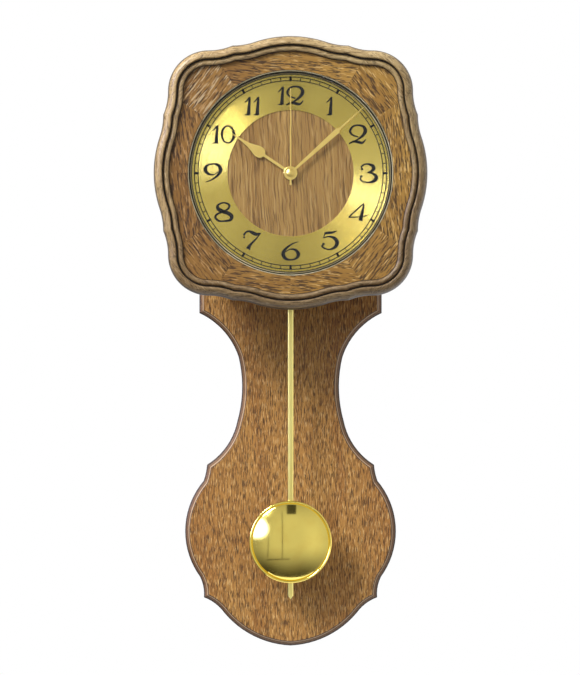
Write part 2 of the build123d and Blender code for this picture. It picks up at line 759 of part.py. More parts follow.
winding_low = bobbin_low + flange_thickness
winding_high = bobbin_high - flange_thickness
winding_half = 4.1
winding_rise = 1.1
with BuildPart() as coil_winding:
    slab(bobbin_out - winding_rise, bobbin_depth + 2 * winding_rise,
         (core_middle - winding_half, winding_low),
         (core_middle + winding_half, winding_high))
    slab(bobbin_out, bobbin_depth, (core_left - bobbin_wall, winding_low),
         (core_right + bobbin_wall, winding_high), Mode.SUBTRACT)
save(coil_winding, "coil_winding")

board_out = 62.0
board_sheet = 1.0
board_low = (2.0, 16.5)
board_high = (28.0, 28.0)
with BuildPart() as circuit_board:
    slab(board_out, board_sheet, board_low, board_high)
save(circuit_board, "circuit_board")

chip_low = (17.0, 19.0)
chip_high = (23.0, 25.0)
chip_height = 1.2
with BuildPart() as clock_chip:
    slab(board_out + board_sheet, chip_height, chip_low, chip_high)
save(clock_chip, "clock_chip")

crystal_radius = 1.0
crystal_length = 6.0
crystal_start = 5.0
crystal_height = 22.0
with BuildPart() as quartz_crystal:
    with BuildSketch(Plane(origin=(crystal_start, -board_out - board_sheet - crystal_radius,
                                   crystal_height - axis_below_hanger), z_dir=(1, 0, 0))):
        Circle(crystal_radius)
    extrude(amount=crystal_length)
save(quartz_crystal, "quartz_crystal")

battery_start = -25.0
battery_length = 49.0
battery_button_radius = 2.7
battery_button_length = 1.2
with BuildPart() as battery:
    with BuildSketch(Plane(origin=(battery_start, -battery_out, battery_height - axis_below_hanger),
                           z_dir=(1, 0, 0))):
        Circle(battery_radius)
    extrude(amount=battery_length)
    with BuildSketch(Plane(origin=(battery_start + battery_length, -battery_out,
                                   battery_height - axis_below_hanger), z_dir=(1, 0, 0))):
        Circle(battery_button_radius)
    extrude(amount=battery_button_length)
save(battery, "battery")

contact_out = 62.0
contact_depth = 12.0
contact_low, contact_high = -36.0, -23.0
contact_sheet = 0.5
contact_lefts = (-25.6, 25.3)
with BuildPart() as battery_contacts:
    for left in contact_lefts:
        slab(contact_out, contact_depth, (left, contact_low), (left + contact_sheet, contact_high))
save(battery_contacts, "battery_contacts")

# ---- pendulum drive: case, cover, coil and pivot pin ---------------------------------------------
drive_low = (-20.0, -78.0)
drive_high = (20.0, -42.0)
drive_back = 62.0
pin_radius = 1.0
pin_boss_radius = 3.0
pin_hole_depth = 12.0
pin_back = 52.9
pin_length = 21.1
pin_head_radius = 2.2
pin_head_height = 0.8
magnet_drop = 67.0
core_radius = 3.0
core_length = 8.5
coil_radius = 7.0
coil_length = 6.0
coil_gap = 1.0

with BuildPart() as drive_case:
    slab(drive_back, case_front - drive_back, drive_low, drive_high)
    slab(drive_back, front_wall_back - drive_back,
         (drive_low[0] + movement_wall, drive_low[1] + movement_wall),
         (drive_high[0] - movement_wall, drive_high[1] - movement_wall), Mode.SUBTRACT)
    disc(drive_back, front_wall_back - drive_back, pin_boss_radius, 0, -pivot_drop)
    disc(drive_back, pin_hole_depth, pin_radius, 0, -pivot_drop, Mode.SUBTRACT)
save(drive_case, "drive_case")

with BuildPart() as drive_cover:
    slab(drive_back - movement_wall, movement_wall, drive_low, drive_high)
    disc(drive_back, core_length, core_radius, 0, -magnet_drop)
    disc(drive_back - movement_wall, movement_wall, pin_radius, 0, -pivot_drop, Mode.SUBTRACT)
save(drive_cover, "drive_cover")

with BuildPart() as drive_coil:
    disc(drive_back + coil_gap, coil_length, coil_radius, 0, -magnet_drop)
    disc(drive_back + coil_gap, coil_length, core_radius, 0, -magnet_drop, Mode.SUBTRACT)
save(drive_coil, "drive_coil")

with BuildPart() as pivot_pin:
    disc(pin_back, pin_length, pin_radius, 0, -pivot_drop)
    disc(pin_back - pin_head_height, pin_head_height, pin_head_radius, 0, -pivot_drop)
save(pivot_pin, "pivot_pin")

# ---- pendulum: leader, magnet, rod and bob -------------------------------------------------------
leader_out = 54.0
leader_thickness = 4.0
leader_half = 4.5
leader_end = 2.0
peg_radius = 1.5
peg_back = rod_out - 0.8
leader_magnet_radius = 4.0
leader_magnet_length = 1.7
rod_start = 6.0                 # the rod begins this far above its hook
rod_point = 3.2

with BuildPart() as pendulum_leader:
    slab(leader_out, leader_thickness, (-leader_half, -hook_drop - leader_end), (leader_half, -pivot_drop))
    disc(leader_out, leader_thickness, leader_half, 0, -pivot_drop)
    disc(peg_back, leader_out - peg_back, peg_radius, 0, -hook_drop)
    disc(leader_out, leader_thickness, pin_radius + running_gap, 0, -pivot_drop, Mode.SUBTRACT)
save(pendulum_leader, "pendulum_leader")

with BuildPart() as leader_magnet:
    disc(leader_out + leader_thickness, leader_magnet_length, leader_magnet_radius, 0, -magnet_drop)
save(leader_magnet, "leader_magnet")

with BuildPart() as pendulum_rod:
    with BuildSketch(facing(rod_out)):
        half_hand([(0, rod_start - hook_drop), (rod_width / 2, rod_start - hook_drop),
                   (rod_width / 2, rod_point - rod_tip_drop), (0, -rod_tip_drop)])
    extrude(amount=rod_thickness)
    disc(rod_out, rod_thickness, peg_radius, 0, -hook_drop, Mode.SUBTRACT)
save(pendulum_rod, "pendulum_rod")

bob_back_out = rod_out + rod_thickness + fitting_gap
bob_front_out = bob_back_out + sheet
bob_rim = 2.6
bob_back_inset = 0.6
clip_half = (7.0, 9.0)
clip_back = 1.4

with BuildPart() as bob_clip:
    slab(rod_out - clip_back, bob_back_out - rod_out + clip_back, (-clip_half[0], -bob_drop - clip_half[1]),
         (clip_half[0], -bob_drop + clip_half[1]))
    slab(rod_out, bob_back_out - rod_out, (-rod_width / 2, -bob_drop - clip_half[1]),
         (rod_width / 2, -bob_drop + clip_half[1]), Mode.SUBTRACT)
save(bob_clip, "bob_clip")

with BuildPart() as bob_back:
    disc(bob_back_out, sheet, bob_radius - bob_back_inset, 0, -bob_drop)
save(bob_back, "bob_back")

with BuildPart() as bob_shell:
    with BuildSketch(Plane(origin=(0, -bob_front_out, -bob_drop - axis_below_hanger), x_dir=(1, 0, 0),
                           z_dir=(0, 0, 1))):
        with BuildLine():
            Line((0, sheet - bob_height), (0, -bob_height))
            TangentArc((0, -bob_height), (bob_radius, 0), tangent=(1, 0))
            Line((bob_radius, 0), (bob_radius - bob_rim, 0))
            TangentArc((0, sheet - bob_height), (bob_radius - bob_rim, 0), tangent=(1, 0))
        make_face()
    revolve(axis=Axis((0, 0, -bob_drop - axis_below_hanger), (0, 1, 0)))
save(bob_shell, "bob_shell")
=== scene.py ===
import json
import math

import bmesh
import bpy
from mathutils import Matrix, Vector


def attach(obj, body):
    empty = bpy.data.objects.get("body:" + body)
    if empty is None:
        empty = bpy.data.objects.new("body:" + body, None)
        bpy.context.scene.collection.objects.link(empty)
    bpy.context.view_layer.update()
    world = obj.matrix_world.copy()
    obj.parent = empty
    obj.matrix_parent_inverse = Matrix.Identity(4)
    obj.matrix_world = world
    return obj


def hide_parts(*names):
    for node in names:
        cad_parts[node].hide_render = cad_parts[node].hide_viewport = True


# A wall clock with a swinging pendulum: its finishes, moulding, numerals, hands and studio.
# Sizes are in millimetres. x and z count from the axis of the hands, and "out" from the wall.

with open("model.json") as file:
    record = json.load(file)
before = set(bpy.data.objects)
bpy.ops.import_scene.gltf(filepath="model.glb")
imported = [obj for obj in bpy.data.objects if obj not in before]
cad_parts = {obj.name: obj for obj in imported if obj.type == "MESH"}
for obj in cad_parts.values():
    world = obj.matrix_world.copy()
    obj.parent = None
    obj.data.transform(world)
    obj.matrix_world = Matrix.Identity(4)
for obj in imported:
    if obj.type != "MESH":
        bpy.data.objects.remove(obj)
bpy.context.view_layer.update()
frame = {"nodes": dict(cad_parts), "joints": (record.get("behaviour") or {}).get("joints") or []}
nodes = frame["nodes"]
joints = {joint["name"]: joint for joint in frame["joints"]}
handAxis = Vector(joints["minute_spin"]["pos_m"])
mm = 0.001
print("loaded", len(nodes), "parts")


# making meshes

def place(x, out, z):
    return Vector((x * mm, -out * mm, z * mm)) + handAxis


def meshPiece(name, points, faces):  # points are (x, out, z)
    mesh = bpy.data.meshes.new(name)
    mesh.from_pydata([place(*point) for point in points], [], faces)
    piece = bpy.data.objects.new(name, mesh)
    bpy.context.scene.collection.objects.link(piece)
    return piece


def dressMesh(piece, sharpAngle):  # merged, facing outwards, smooth up to an angle
    work = bmesh.new()
    work.from_mesh(piece.data)
    bmesh.ops.remove_doubles(work, verts=work.verts, dist=0.002 * mm)
    bmesh.ops.recalc_face_normals(work, faces=work.faces)
    work.to_mesh(piece.data)
    work.free()
    piece.data.shade_smooth()
    piece.data.set_sharp_from_angle(angle=math.radians(sharpAngle))
    return piece


def fit(piece, body, finish, stands=()):
    piece.data.materials.clear()
    piece.data.materials.append(finish)
    if stands:
        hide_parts(*stands)
    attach(piece, body)
    return piece


def joined(parts):  # several (points, faces) shells in one list
    points = []
    faces = []
    for shellPoints, shellFaces in parts:
        base = len(points)
        points += shellPoints
        faces += [[corner + base for corner in face] for face in shellFaces]
    return points, faces


def turnedShell(profile, centre, segments):  # (radius, out) pairs round an axis through centre
    points = []
    rings = []
    for radius, out in profile:
        count = 1 if radius < 1e-6 else segments
        rings.append([len(points) + i for i in range(count)])
        for i in range(count):
            angle = 2 * math.pi * i / segments
            points.append((centre[0] + radius * math.sin(angle), out, centre[1] + radius * math.cos(angle)))
    faces = []
    for near, far in zip(rings, rings[1:] + rings[:1]):
        for i in range(segments):
            j = (i + 1) % segments
            corners = [near[i % len(near)], near[j % len(near)], far[j % len(far)], far[i % len(far)]]
            corners = list(dict.fromkeys(corners))
            if len(corners) > 2:
                faces.append(corners)
    return points, faces


def arcPoints(centre, radii, start, end, steps):  # angles in degrees, measured from the first axis
    found = []
    for i in range(steps + 1):
        angle = math.radians(start + (end - start) * i / steps)
        found.append((centre[0] + radii[0] * math.cos(angle), centre[1] + radii[1] * math.sin(angle)))
    return found


# shader and geometry trees

class Flow:  # one socket of a tree, with arithmetic
    def __init__(self, maker, socket):
        self.maker = maker
        self.socket = socket

    def other(self, name):  # another output of the same node
        return Flow(self.maker, self.socket.node.outputs[name])

    def calc(self, operation, *values):
        return self.maker.node("ShaderNodeMath", {"operation": operation}, dict(enumerate(values)))

    def __add__(self, value):
        return self.calc("ADD", self, value)

    def __radd__(self, value):
        return self.calc("ADD", value, self)

    def __sub__(self, value):
        return self.calc("SUBTRACT", self, value)

    def __rsub__(self, value):
        return self.calc("SUBTRACT", value, self)

    def __mul__(self, value):
        return self.calc("MULTIPLY", self, value)

    def __rmul__(self, value):
        return self.calc("MULTIPLY", value, self)

    def __truediv__(self, value):
        return self.calc("DIVIDE", self, value)

    def __pow__(self, value):
        return self.calc("POWER", self, value)

    def __abs__(self):
        return self.calc("ABSOLUTE", self)

    def sine(self):
        return self.calc("SINE", self)

    def whole(self):
        return self.calc("FLOOR", self)

    def above(self, edge):  # 1 where it is over the edge
        return self.calc("GREATER_THAN", self, edge)

    def ramp(self, low, high):  # 0 at low, 1 at high, smooth between
        sockets = {"Value": self, "From Min": low, "From Max": high}
        return self.maker.node("ShaderNodeMapRange", {"interpolation_type": "SMOOTHSTEP"}, sockets)


class Maker:  # adds nodes to one tree
    def __init__(self, tree):
        self.tree = tree

    def node(self, kind, settings=None, sockets=None, out=0):
        made = self.tree.nodes.new(kind)
        for name, value in (settings or {}).items():
            setattr(made, name, value)
        for key, value in (sockets or {}).items():
            target = made.inputs[key]
            several = value if isinstance(value, list) else [value]
            for one in several:
                if isinstance(one, Flow):
                    self.tree.links.new(one.socket, target)
                elif target.type == "RGBA":
                    target.default_value = (*one[:3], 1)
                else:
                    target.default_value = one
        return Flow(self, made.outputs[out])

    def vector(self, x, y, z):
        return self.node("ShaderNodeCombineXYZ", {}, {0: x, 1: y, 2: z})

    def vectorMath(self, operation, first, second, out=0):
        return self.node("ShaderNodeVectorMath", {"operation": operation}, {0: first, 1: second}, out)

    def noise(self, x, y, z, detail=2.0, roughness=0.5):
        sockets = {"Vector": self.vector(x, y, z), "Scale": 1.0, "Detail": detail, "Roughness": roughness}
        return self.node("ShaderNodeTexNoise", {}, sockets)

    def mix(self, first, second, share, blend="MIX"):
        settings = {"data_type": "RGBA", "blend_type": blend}
        return self.node("ShaderNodeMix", settings, {0: share, 6: first, 7: second}, 2)

    def bump(self, height, strength, depth):  # depth in millimetres
        sockets = {"Height": height, "Strength": strength, "Distance": depth * mm}
        return self.node("ShaderNodeBump", {}, sockets)


class Finish(Maker):  # a material, with its place on the object in millimetres
    def __init__(self, name):
        self.material = bpy.data.materials.new(name)
        self.material.use_nodes = True
        super().__init__(self.material.node_tree)
        self.tree.nodes.clear()
        at = self.node("ShaderNodeTexCoord", {}, {}, "Object")
        centred = self.vectorMath("SUBTRACT", at, tuple(handAxis))
        spot = self.node("ShaderNodeSeparateXYZ", {}, {0: centred})
        self.x = spot * (1 / mm)
        self.out = spot.other("Y") * (-1 / mm)
        self.z = spot.other("Z") * (1 / mm)

    def surface(self, **sockets):
        named = {name.replace("_", " "): value for name, value in sockets.items()}
        return self.node("ShaderNodeBsdfPrincipled", {}, named)

    def cloud(self, scale, detail=2.0, roughness=0.5):  # noise that is alike in every direction
        return self.noise(self.x * scale, self.out * scale, self.z * scale, detail, roughness)

    def done(self, shader):
        outputless(self, "ShaderNodeOutputMaterial", {"Surface": shader})
        return self.material

    def distance(self, x=0.0, z=0.0):  # from an upright point on the front
        across = self.x - x
        upward = self.z - z
        return (across * across + upward * upward) ** 0.5


def outputless(maker, kind, sockets):  # a tree's last node, which has no outputs
    made = maker.tree.nodes.new(kind)
    for key, value in sockets.items():
        maker.tree.links.new(value.socket, made.inputs[key])


# wood

figure = {
    "wanderAcross": 0.02, "wanderAlong": 0.006, "wanderPull": 3, "bandAlong": 0.004, "bandDepth": 0.03,
    "streakDepth": 0.4, "poreDepth": 0.9, "fleckShift": 71,
}


def grain(finish, across, along, depth, look):  # colour and height of planed wood
    slow = figure["wanderAcross"]
    wander = finish.noise(across * slow, along * figure["wanderAlong"], depth * slow, 1)
    bent = across * look["bands"] + wander * figure["wanderPull"]
    bands = finish.noise(bent, along * figure["bandAlong"], depth * figure["bandDepth"], 3)
    streakDepth = depth * figure["streakDepth"]
    streaks = finish.noise(across * look["streaks"], along * look["streakRun"], streakDepth, 4, 0.62)
    poreDepth = depth * figure["poreDepth"]
    pores = finish.noise(across * look["pores"], along * look["poreRun"], poreDepth, 2, 0.7)
    poreMask = pores.ramp(look["poreEdge"] - 0.04, look["poreEdge"] + 0.06)
    fleckAcross = across * look["pores"] * 0.9 + figure["fleckShift"]
    flecks = finish.noise(fleckAcross, along * look["poreRun"] * 1.1, depth, 1)
    fleckMask = flecks.ramp(look["fleckEdge"], look["fleckEdge"] + 0.1)
    tone = finish.mix(look["dark"], look["light"], bands.ramp(0.3, 0.7))
    tone = finish.mix(tone, look["deep"], streaks.ramp(0.46, 0.72) * look["streakShare"])
    tone = finish.mix(tone, look["pale"], fleckMask * look["fleckShare"])
    tone = finish.mix(tone, look["poreTone"], poreMask * look["poreShare"])
    height = streaks * 0.35 - poreMask * 0.8 + fleckMask * 0.15
    return tone, height


lacquer = {"depth": 0.35, "cloud": 0.05, "spread": 0.12, "coatRough": 0.22, "specular": 0.35}


def lacquered(finish, tone, height, look):
    normal = finish.bump(height, look["relief"], lacquer["depth"])
    rough = finish.cloud(lacquer["cloud"]) * lacquer["spread"] + look["rough"]
    shader = finish.surface(Base_Color=tone, Roughness=rough, Normal=normal, Coat_Weight=look["coat"],
                            Coat_Roughness=lacquer["coatRough"], Specular_IOR_Level=lacquer["specular"])
    return finish.done(shader)


boardLook = {
    "dark": (0.35, 0.155, 0.034), "light": (0.47, 0.240, 0.060), "deep": (0.22, 0.088, 0.018),
    "pale": (0.86, 0.58, 0.24), "poreTone": (0.028, 0.009, 0.003),
    "bands": 0.05, "streaks": 0.45, "streakRun": 0.02, "pores": 1.3, "poreRun": 0.12, "poreEdge": 0.53,
    "fleckEdge": 0.56, "streakShare": 0.6, "fleckShare": 0.5, "poreShare": 0.8, "relief": 0.3, "rough": 0.5,
    # painted light on the bevel: the dark edge lines are painted shade, the pale bead line a painted
    # highlight
    "coat": 0.03, "bevelBack": 13.0, "bevelFront": 17.9, "edgeTone": (0.11, 0.058, 0.035),
    "edgeShadeTone": (0.010, 0.006, 0.005), "bead": (0.50, 0.34, 0.20), "ringShare": 0.16, "stainShare": 0.78,
    "highlightIn": 1.0, "highlightShare": 0.8, "outerShadeShare": 0.95, "innerShadeIn": 0.2, "innerShadeShare": 0.8,
}


def boardWood():  # grain upright, with a faint arched figure
    finish = Finish("boardWood")
    look = boardLook
    front = look["bevelFront"]
    back = look["bevelBack"]
    bend = finish.noise(finish.x * 0.012, finish.out * 0.02, finish.z * 0.01, 2)
    arch = finish.x * finish.x * (1 / 300) + finish.z * (1 / 22) + bend * 3
    rings = (arch * 1.3).sine() * 0.5 + 0.5
    tone, height = grain(finish, finish.x, finish.z, finish.out, look)
    tone = finish.mix(tone, look["deep"], rings * look["ringShare"])
    onEdge = 1 - finish.out.ramp(front, front + 0.08)
    onEdge = onEdge * finish.out.ramp(0.1, 0.3)  # the back face stays plain
    stained = finish.mix(tone, look["edgeTone"], onEdge * look["stainShare"])
    # painted highlight: a pale line along the bevel
    highlightLine = 1 - abs(finish.out - front + look["highlightIn"]).ramp(0.25, 0.5)
    stained = finish.mix(stained, look["bead"], highlightLine * look["highlightShare"])
    stained = finish.mix(tone, stained, onEdge)
    # painted shade: dark lines along the bevel's back and front edges
    outerShadeLine = 1 - finish.out.ramp(back + 0.9, back + 2.2)
    outerShadeLine = outerShadeLine * finish.out.ramp(back - 1.5, back)
    innerShadeLine = 1 - abs(finish.out - front + look["innerShadeIn"]).ramp(0.2, 0.45)
    stained = finish.mix(stained, look["edgeShadeTone"], outerShadeLine * look["outerShadeShare"])
    stained = finish.mix(stained, look["edgeShadeTone"], innerShadeLine * onEdge * look["innerShadeShare"])
    return lacquered(finish, stained, height, look)


veneerLook = {
    "dark": (0.26, 0.130, 0.022), "light": (0.37, 0.205, 0.040), "deep": (0.14, 0.064, 0.011),
    "pale": (0.72, 0.48, 0.18), "poreTone": (0.028, 0.011, 0.003),
    "bands": 0.06, "streaks": 0.45, "streakRun": 0.025, "pores": 0.85, "poreRun": 0.09, "poreEdge": 0.54,
    "fleckEdge": 0.57, "streakShare": 0.6, "fleckShare": 0.5, "poreShare": 0.85, "relief": 0.3,
    "rough": 0.5, "coat": 0.06, "seamLow": 33.0, "seamHigh": 57.0, "redLeft": (0.66, 0.58, 0.62),
    # the sheen is a painted highlight
    "slant": 0.12, "sheen": (0.80, 0.66, 0.42), "sheenShare": 0.35,
}
frameLook = {
    "dark": (0.33, 0.225, 0.095), "light": (0.44, 0.320, 0.150), "deep": (0.20, 0.120, 0.045),
    # painted shade: the edge tone darkens the quirk and the edges, the dimmer tone the sides and the lower
    # right
    "pale": (0.62, 0.49, 0.28), "poreTone": (0.07, 0.040, 0.015), "edge": (0.020, 0.010, 0.005),
    "dimmerTone": (0.50, 0.46, 0.46),
    "bands": 0.07, "streaks": 0.35, "streakRun": 0.02, "pores": 0.9, "poreRun": 0.12, "poreEdge": 0.56,
    "fleckEdge": 0.58, "streakShare": 0.7, "fleckShare": 0.5, "poreShare": 0.7, "relief": 0.3,
    "rough": 0.38, "coat": 0.16, "seamLow": 33.0, "seamHigh": 57.0, "redLeft": (0.96, 0.92, 0.92),
    "slant": 0.03, "mouldingShadeShare": 0.94,
}


def runningWood(name, look):  # grain that runs round the dial, leaf by leaf
    finish = Finish(name)
    wide = abs(finish.x)
    tall = abs(finish.z)
    lean = finish.node("ShaderNodeMath", {"operation": "ARCTAN2"}, {0: wide, 1: tall}) * math.degrees(1)
    side = lean.above(look["seamHigh"])
    corner = lean.above(look["seamLow"]) - side
    level = 1 - side - corner
    rightward = finish.x.above(0.0)
    upward = finish.z.above(0.0)
    leaf = rightward * 40 + upward * 170 + side * 310 + corner * 95
    along = finish.x * level + finish.z * side + (wide - tall) * math.sqrt(0.5) * corner + leaf
    across = finish.z * level + finish.x * side + (wide + tall) * math.sqrt(0.5) * corner + leaf
    across = across + along * look["slant"]
    tone, height = grain(finish, across, along, finish.out, look)
    redder = finish.mix(tone, look["redLeft"], 1.0, "MULTIPLY")
    tone = finish.mix(redder, tone, finish.x.ramp(-110.0, 60.0))
    if "sheen" in look:  # painted highlight: a paler sheen in the upper left corner
        lines = finish.noise(across * 0.7, along * 0.06, 3.0, 2).ramp(0.54, 0.6)
        paintedSheen = corner * (1 - rightward) * upward * lines
        tone = finish.mix(tone, look["sheen"], paintedSheen * look["sheenShare"])
    if "edge" in look:  # painted shade: dimmer sides, and darker in the quirk and by the outer edge
        shadedSides = finish.mix(tone, look["dimmerTone"], 1.0, "MULTIPLY")
        tone = finish.mix(shadedSides, tone, finish.out.ramp(90.0, 95.0))
        mouldingShade = (1 - finish.out.ramp(93.4, 95.6)) * finish.out.ramp(89.5, 92.5)
        tone = finish.mix(tone, look["edge"], mouldingShade * look["mouldingShadeShare"])
        # painted shade: the frame darkens towards the lower right and stays lighter to the upper left
        litUpperLeft = (finish.z * 0.8 - finish.x * 0.35).ramp(-115.0, 95.0)  # darker to the lower right
        tone = finish.mix(finish.mix(tone, look["dimmerTone"], 1.0, "MULTIPLY"), tone, litUpperLeft)
    return lacquered(finish, tone, height, look)


dialWoodLook = {
    "dark": (0.34, 0.180, 0.048), "light": (0.45, 0.260, 0.076), "deep": (0.19, 0.085, 0.026),
    "pale": (0.66, 0.44, 0.17), "poreTone": (0.07, 0.026, 0.009),
    "bands": 0.09, "streaks": 0.55, "streakRun": 0.012, "pores": 0.8, "poreRun": 0.03, "poreEdge": 0.56,
    "fleckEdge": 0.57, "streakShare": 0.7, "fleckShare": 0.45, "poreShare": 0.65, "relief": 0.2,
    "rough": 0.5, "coat": 0.05,
}


def dialWood():
    finish = Finish("dialWood")
    wave = finish.noise(finish.x * 0.02, 0.0, finish.z * 0.05, 2)
    lean = finish.x + finish.z * 0.05 + wave * 5
    tone, height = grain(finish, lean, finish.z, finish.out, dialWoodLook)
    return lacquered(finish, tone, height, dialWoodLook)


def pressedBoard():
    look = {"dark": (0.20, 0.12, 0.065), "light": (0.36, 0.24, 0.14), "band": (0.012, 0.009, 0.006),
            "gilt": (0.80, 0.66, 0.36), "giltRadius": 88.5}
    finish = Finish("pressedBoard")
    chips = finish.cloud(0.9, 3, 0.7)
    tone = finish.mix(look["dark"], look["light"], chips.ramp(0.35, 0.65))
    radius = finish.distance()
    banded = radius.ramp(86.5, 87.2) * finish.out.ramp(82.5, 82.9)  # only on the front, outside the ring
    tone = finish.mix(tone, look["band"], banded)
    gilt = (1 - abs(radius - look["giltRadius"]).ramp(0.35, 0.55)) * banded
    tone = finish.mix(tone, look["gilt"], gilt)
    normal = finish.bump(chips, 0.3, 0.2)
    return finish.done(finish.surface(Base_Color=tone, Roughness=0.75, Normal=normal))


# metals

def ringBrass():  # turned in fine circles round the hands
    look = {"tone": (0.88, 0.68, 0.16), "dimmerTone": (0.82, 0.62, 0.14), "slope": 0.42, "pitch": 160.0,
            "rough": 0.22}
    finish = Finish("ringBrass")
    radius = finish.distance()
    line = (radius * look["pitch"]).whole()
    cut = finish.node("ShaderNodeTexWhiteNoise", {"noise_dimensions": "1D"}, {"W": line})
    tilt = (cut * math.tau).sine() * look["slope"]
    outward = finish.vectorMath("NORMALIZE", finish.vector(finish.x, 0.0, finish.z), (0, 0, 0))
    lean = finish.node("ShaderNodeVectorMath", {"operation": "SCALE"}, {0: outward, "Scale": tilt})
    face = finish.node("ShaderNodeNewGeometry", {}, {}, "Normal")
    normal = finish.vectorMath("NORMALIZE", finish.vectorMath("ADD", face, lean), (0, 0, 0))
    cloud = finish.noise(finish.x * 0.03, 0.0, finish.z * 0.03, 3)
    tone = finish.mix(look["dimmerTone"], look["tone"], cloud.ramp(0.35, 0.6))
    shader = finish.surface(Base_Color=tone, Metallic=1.0, Roughness=look["rough"], Normal=normal)
    return finish.done(shader)


def brushedMetal(name, tone, shade, rough, runs, relief):  # runs are lines per millimetre in x, out and z
    finish = Finish(name)
    lines = finish.noise(finish.x * runs[0], finish.out * runs[1], finish.z * runs[2], 3, 0.6)
    cloud = finish.cloud(0.08, 3)
    colour = finish.mix(shade, tone, cloud.ramp(0.3, 0.6))
    gloss = lines * 0.12 + cloud * 0.1 + (rough - 0.11)
    normal = finish.bump(lines, relief, 0.05)
    return finish.done(finish.surface(Base_Color=colour, Metallic=1.0, Roughness=gloss, Normal=normal))


def turnedBrass():
    look = {"dark": (0.62, 0.45, 0.19), "light": (0.84, 0.66, 0.31), "pitch": 14, "rough": 0.27}
    finish = Finish("turnedBrass")
    rings = (finish.distance() * look["pitch"]).sine() * 0.5 + 0.5
    colour = finish.mix(look["dark"], look["light"], rings * 0.5 + 0.3)
    normal = finish.bump(rings, 0.25, 0.05)
    shader = finish.surface(Base_Color=colour, Metallic=1.0, Roughness=look["rough"], Normal=normal)
    return finish.done(shader)


def drawnBrass():  # drawn lengthwise
    look = {"tone": (1.0, 0.88, 0.32), "shade": (0.90, 0.72, 0.20), "rough": 0.27}
    finish = Finish("rodBrass")
    draw = finish.noise(finish.x * 5, finish.out * 5, finish.z * 0.02, 3)
    tone = finish.mix(look["shade"], look["tone"], draw.ramp(0.35, 0.6))
    normal = finish.bump(draw, 0.2, 0.05)
    rough = draw * 0.15 + look["rough"]
    return finish.done(finish.surface(Base_Color=tone, Metallic=1.0, Roughness=rough, Normal=normal))


def lacqueredRim():  # bright on its crest, with painted shade beside it
    look = {"dark": (0.80, 0.70, 0.45), "light": (0.95, 0.86, 0.60), "groove": (0.02, 0.015, 0.008),
            "crest": 90.45}
    finish = Finish("glassRim")
    cloud = finish.noise(finish.x * 0.1, finish.out * 0.5, finish.z * 0.1, 3)
    tone = finish.mix(look["dark"], look["light"], cloud.ramp(0.3, 0.7))
    # painted shade: near black beside the crest
    groove = abs(finish.distance() - look["crest"]).ramp(0.25, 0.4)
    tone = finish.mix(tone, look["groove"], groove)
    return finish.done(finish.surface(Base_Color=tone, Metallic=1.0, Roughness=cloud * 0.2 + 0.3))


def magnetStone():
    look = {"dark": (0.05, 0.05, 0.055), "light": (0.16, 0.155, 0.16)}
    finish = Finish("magnet")
    specks = finish.cloud(3, 4, 0.7)
    tone = finish.mix(look["dark"], look["light"], specks.ramp(0.4, 0.7))
    normal = finish.bump(specks, 0.3, 0.08)
    return finish.done(finish.surface(Base_Color=tone, Roughness=0.62, Normal=normal))


def copperWire():
    look = {"gap": (0.38, 0.11, 0.035), "wire": (0.86, 0.38, 0.17), "pitch": 16}
    finish = Finish("copperWire")
    # painted shade: darker between the turns of wire
    turns = ((finish.z + finish.x * 0.03) * look["pitch"]).sine() * 0.5 + 0.5
    tone = finish.mix(look["gap"], look["wire"], turns)
    normal = finish.bump(turns, 0.6, 0.1)
    return finish.done(finish.surface(Base_Color=tone, Metallic=0.9, Roughness=0.33, Normal=normal))


# plastics, rubber, felt and glass

def moulded(name, tone, shade, rough, relief, scale=2.2):  # spark-grained moulded surface
    finish = Finish(name)
    skin = finish.cloud(scale, 4, 0.7)
    flow = finish.cloud(0.05, 2)
    colour = finish.mix(shade, tone, flow.ramp(0.3, 0.65))
    normal = finish.bump(skin, relief, 0.08)
    return finish.done(finish.surface(Base_Color=colour, Roughness=skin * 0.16 + rough, Normal=normal))


def felt():
    look = {"dark": (0.03, 0.055, 0.038), "light": (0.12, 0.18, 0.13), "rough": 0.95, "sheen": 0.4}
    finish = Finish("felt")
    fibres = finish.noise(finish.x * 2.5, finish.out * 2.5, finish.z * 0.7, 5, 0.8)
    crossed = finish.noise(finish.x * 0.7 + 9, finish.out * 2.5, finish.z * 2.5, 5, 0.8)
    tone = finish.mix(look["dark"], look["light"], (fibres * crossed * 4).ramp(0.6, 1.5))
    normal = finish.bump(fibres + crossed, 0.9, 0.3)
    return finish.done(finish.surface(Base_Color=tone, Roughness=look["rough"], Normal=normal,
                                      Sheen_Weight=look["sheen"]))


def circuitGreen():
    look = {"board": (0.012, 0.10, 0.045), "trace": (0.06, 0.26, 0.12), "rough": 0.3}
    finish = Finish("circuitGreen")
    lanes = ((finish.z * 2.4).sine() * 0.5 + 0.5).above(0.72)
    gaps = finish.noise(finish.x * 0.35, 0.0, finish.z * 0.6, 1).above(0.5)
    traces = lanes * gaps
    tone = finish.mix(look["board"], look["trace"], traces)
    normal = finish.bump(traces, 0.4, 0.05)
    return finish.done(finish.surface(Base_Color=tone, Roughness=look["rough"], Normal=normal))


def batterySleeve():
    look = {"sleeve": (0.02, 0.02, 0.024), "gold": (0.70, 0.40, 0.12), "metal": (0.72, 0.72, 0.70),
            "scuff": (0.5, 0.48, 0.44), "goldFrom": 9.0, "metalFrom": 23.9}
    finish = Finish("batterySleeve")
    goldEnd = finish.x.above(look["goldFrom"])
    cap = finish.x.above(look["metalFrom"])
    scuff = finish.noise(finish.x * 0.5, finish.out * 2.0, finish.z * 2.0, 3)
    tone = finish.mix(look["sleeve"], look["gold"], goldEnd)
    tone = finish.mix(tone, look["metal"], cap)
    tone = finish.mix(tone, look["scuff"], scuff.ramp(0.62, 0.75) * 0.25)
    return finish.done(finish.surface(Base_Color=tone, Metallic=0.6, Roughness=scuff * 0.2 + 0.22))


